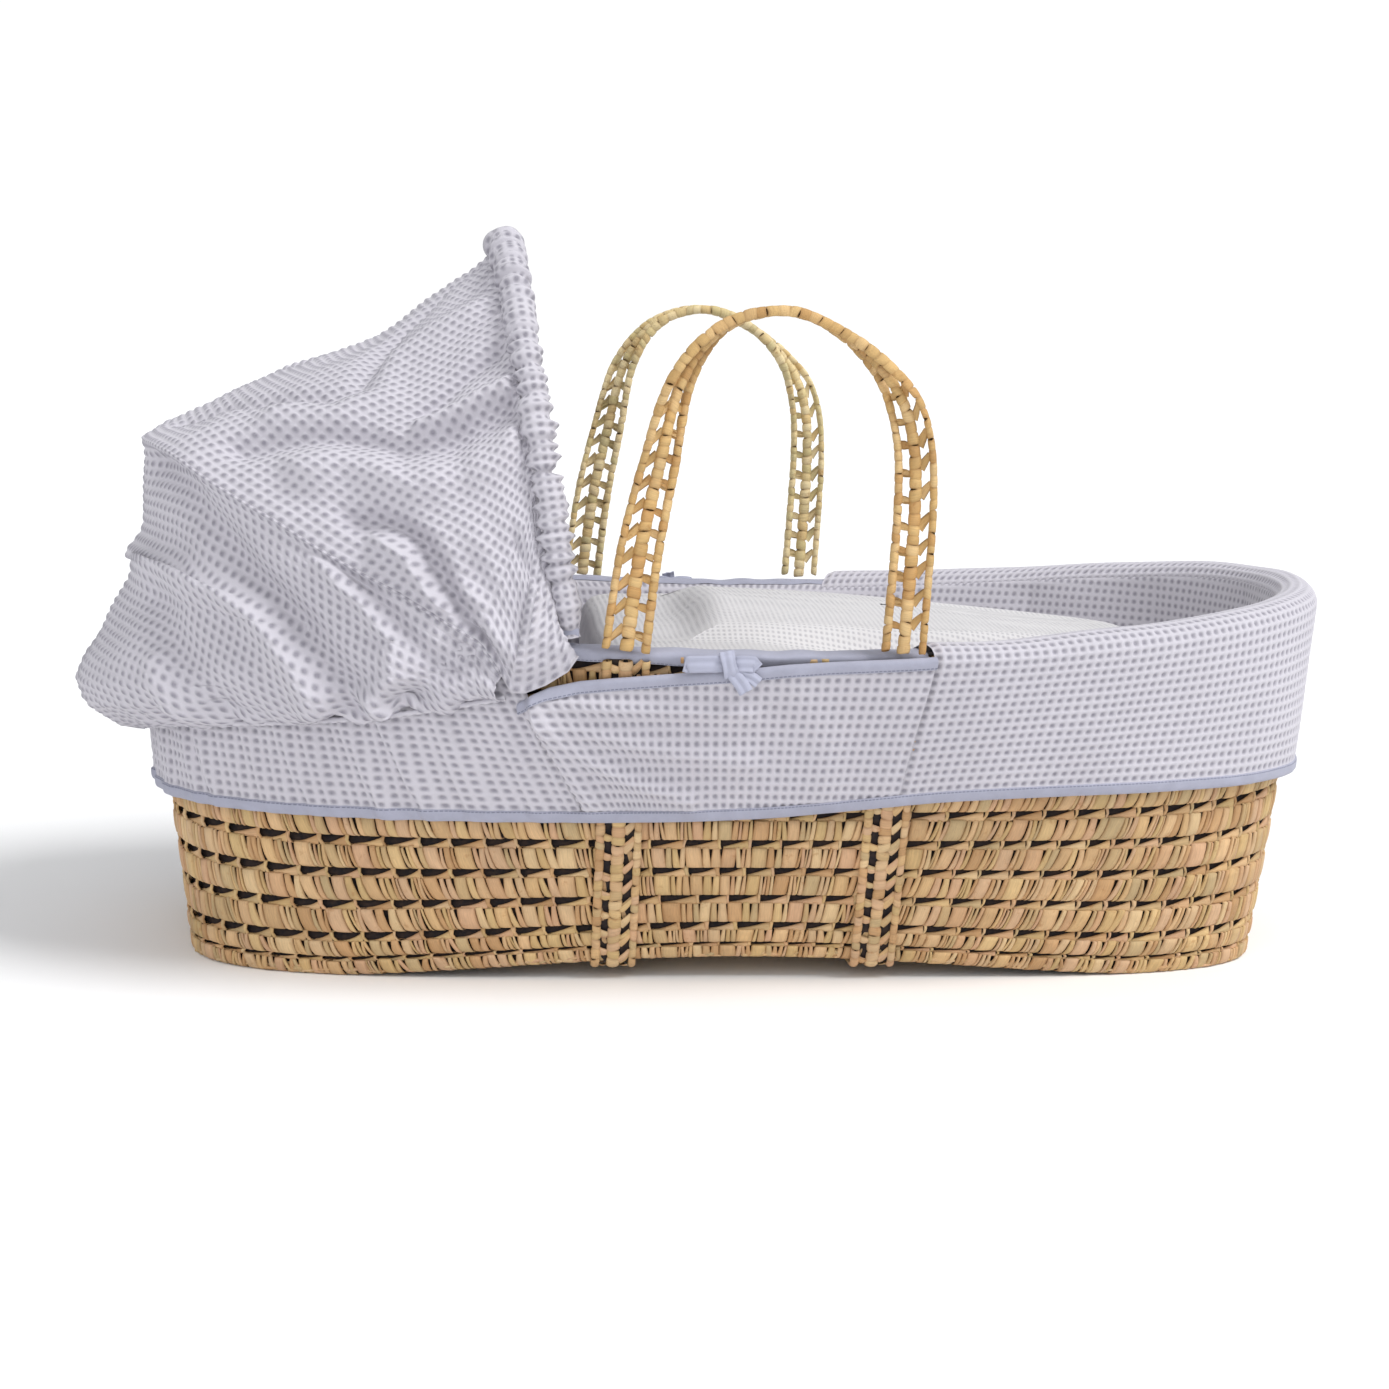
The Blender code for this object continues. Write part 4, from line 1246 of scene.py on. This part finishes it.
def make_top_panel():
    """The panel from the hoop back to the seam, gathered at the hoop."""
    turns = np.linspace(-0.998, 0.998, 620)
    shares = np.linspace(0, 1, 240)
    grid = top_panel_grid(turns, shares)
    u, v = np.abs(turns)[None] * 0.36, shares[:, None] * 0.25
    fade = smooth(0.0, 0.05, shares)[:, None] * smooth(1.0, 0.93, shares)[:, None]
    folds = creases(u, v, fold_lines(TOP_FOLDS, 0.36, 0.25)) * 1.45
    near = smooth(0.10, 0.02, shares)[:, None]
    gathers = 0.0011 * near * ripple(turns[None] * 0.5, v, 0.013, 55, 0.5)
    soft = 0.0016 * ripple(turns[None] * 0.45, v, 0.07, 56)
    lift = (folds * np.where(turns > 0, 0.85, 1.0)[None] + soft) * fade + gathers
    v = lengths_down(grid)
    u = lengths_across(grid[150])[None] + 0 * v
    return cloth("hood_top_cloth", grid, u, v, (FABRIC,), body=None, replaces=("hood_top_panel",), flip=True,
                 lift=lift)


def make_back_panel():
    """The panel below the seam, gathered along its lower edge."""
    front = -np.linspace(SEAM_END, 0.0, 310, endpoint=False)
    reaches = np.concatenate((front, np.linspace(0, SEAM_END, 311)))
    heights = np.linspace(0, 1, 200)
    grid, z = back_panel_grid(np.abs(reaches), np.sign(reaches), heights)
    u, v = np.abs(reaches)[None] * STEP, heights[:, None] * 0.20
    folds = creases(u, v, fold_lines(BACK_FOLDS, STEP, 0.20)) * 1.15
    gathered = smooth(0.20, 0.0, heights)[:, None]
    s = reaches[None] * STEP
    pucker = gathered * (0.0028 * ripple(s, v * 0.5, 0.030, 61, 0.5) + 0.0012 * ripple(s, v, 0.013, 62, 0.5))
    soft = 0.0014 * ripple(s, v, 0.06, 63)
    fade = smooth(0.0, 0.06, heights)[:, None] * smooth(1.0, 0.93, heights)[:, None]
    lift = (folds + soft) * fade + pucker
    grid[..., 2] += smooth(0.12, 0.0, heights)[:, None] * 0.0030 * ripple(s, 0 * v, 0.034, 64, 0.2)
    v = lengths_down(grid)
    u = lengths_across(grid[130])[None] + 0 * v
    return cloth("hood_back_cloth", grid, u, v, (FABRIC,), body=None, replaces=("hood_back_panel",),
                 lift=lift)


def make_hood():
    """The hood's cloth. Its panels and piping run between the basket and the hoop, on no body."""
    make_casing()
    top, back = make_top_panel(), make_back_panel()
    patches = Patches()
    t = np.linspace(-SEAM_END, SEAM_END, 400)
    tube(patches, seam_at(np.sign(t), np.abs(t)), 0.0011)
    piping = patches.piece("hood_piping_cloth", None, "waffle_cotton", (FABRIC,), ("hood_seam_piping",))
    patches = Patches()
    edge_z = np.interp(np.abs(t), EDGE_REACH, EDGE_Z)
    tube(patches, wall(SEGMENTS / 2 - t, edge_z, HOOD_OUT - 0.0005), 0.0020)
    patches.piece("hood_elastic_cloth", "basket", "waffle_cotton", (FABRIC,), ("hood_elastic_hem",))

    for obj in (top, back, piping):
        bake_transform(obj)


def tube(patches, line, radius, sides=10):
    """A thin round tube along a line."""
    tangent = unit(np.gradient(line, axis=0))
    side = unit(np.cross(tangent, UPWARD))
    up = np.cross(side, tangent)
    angle = np.linspace(0, 2 * pi, sides + 1)[:-1]
    turned = side[:, None] * np.cos(angle)[:, None] + up[:, None] * np.sin(angle)[:, None]
    points = line[:, None] + turned * radius
    along = lengths_along(line)
    facts = np.empty((*points.shape[:2], 3))
    facts[..., 0] = along[:, None]
    facts[..., 1] = angle * radius
    facts[..., 2] = 0.5
    patches.add(points, quads(*points.shape[:2], closed=True), facts)


# Stage


def make_stage():
    """A pale floor under a white backdrop that lights nothing, a soft world and two soft suns."""
    mesh = bpy.data.meshes.new("floor")
    s = 40.0
    mesh.from_pydata([(-s, -s, 0), (s, -s, 0), (s, s, 0), (-s, s, 0)], [], [(0, 1, 2, 3)])
    floor = bpy.data.objects.new("floor", mesh)
    n = Nodes("floor_paint", 0.9)
    speck = n.noise(n.place(), 3.0, 2.0)
    n.finish(n.ramp(speck, ((0.3, (0.90, 0.90, 0.905)), (0.7, (0.92, 0.92, 0.922)))))
    mesh.materials.append(n.mat)
    bpy.ops.mesh.primitive_uv_sphere_add(radius=60.0, segments=32, ring_count=16)
    dome = bpy.context.object
    dome.name = "backdrop"
    white = bpy.data.materials.new("backdrop_white")
    white.use_nodes = True
    shader = white.node_tree.nodes["Principled BSDF"]
    shader.inputs["Base Color"].default_value = (0, 0, 0, 1)
    shader.inputs["Emission Color"].default_value = (1, 1, 1, 1)
    shader.inputs["Emission Strength"].default_value = 1.0
    dome.data.materials.append(white)
    for kind in ("diffuse", "glossy", "transmission", "shadow", "volume_scatter"):
        setattr(dome, f"visible_{kind}", False)
    bpy.context.scene.collection.objects.link(floor)
    world = bpy.data.worlds.new("studio")
    world.use_nodes = True
    sky = world.node_tree.nodes["Background"]
    sky.inputs["Color"].default_value = (0.97, 0.985, 1.0, 1)
    sky.inputs["Strength"].default_value = 0.60
    bpy.context.scene.world = world
    suns = (("key", (0.55, -0.30, 0.80), 2.3, 28), ("fill", (-0.25, -0.90, 0.45), 0.8, 60))
    for name, toward, power, soft in suns:
        light = bpy.data.lights.new(name, "SUN")
        light.energy, light.angle = power, radians(soft)
        obj = bpy.data.objects.new(name, light)
        obj.rotation_mode = "QUATERNION"
        obj.rotation_quaternion = Vector(toward).to_track_quat("Z", "Y")
        bpy.context.scene.collection.objects.link(obj)
    bpy.context.scene.view_settings.view_transform = "Standard"


make_camera()
make_wall()
make_floor()
make_straps()
make_handle("handle_front", -1, 71, PALM_WARM, "palm_leaf")
make_handle("handle_rear", 1, 73, PALM_PALE, "pale_palm_leaf")
make_liner()
make_skirts()
make_bindings()
make_bow("front")
make_bow("rear")
make_mattress()
make_coverlet()
make_hood()
for node, mat in (("hoop_pocket_front", TIE), ("hoop_pocket_rear", TIE), ("hood_hoop", HOOP)):
    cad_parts[node].data.materials.clear()
    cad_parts[node].data.materials.append(mat)
make_stage()
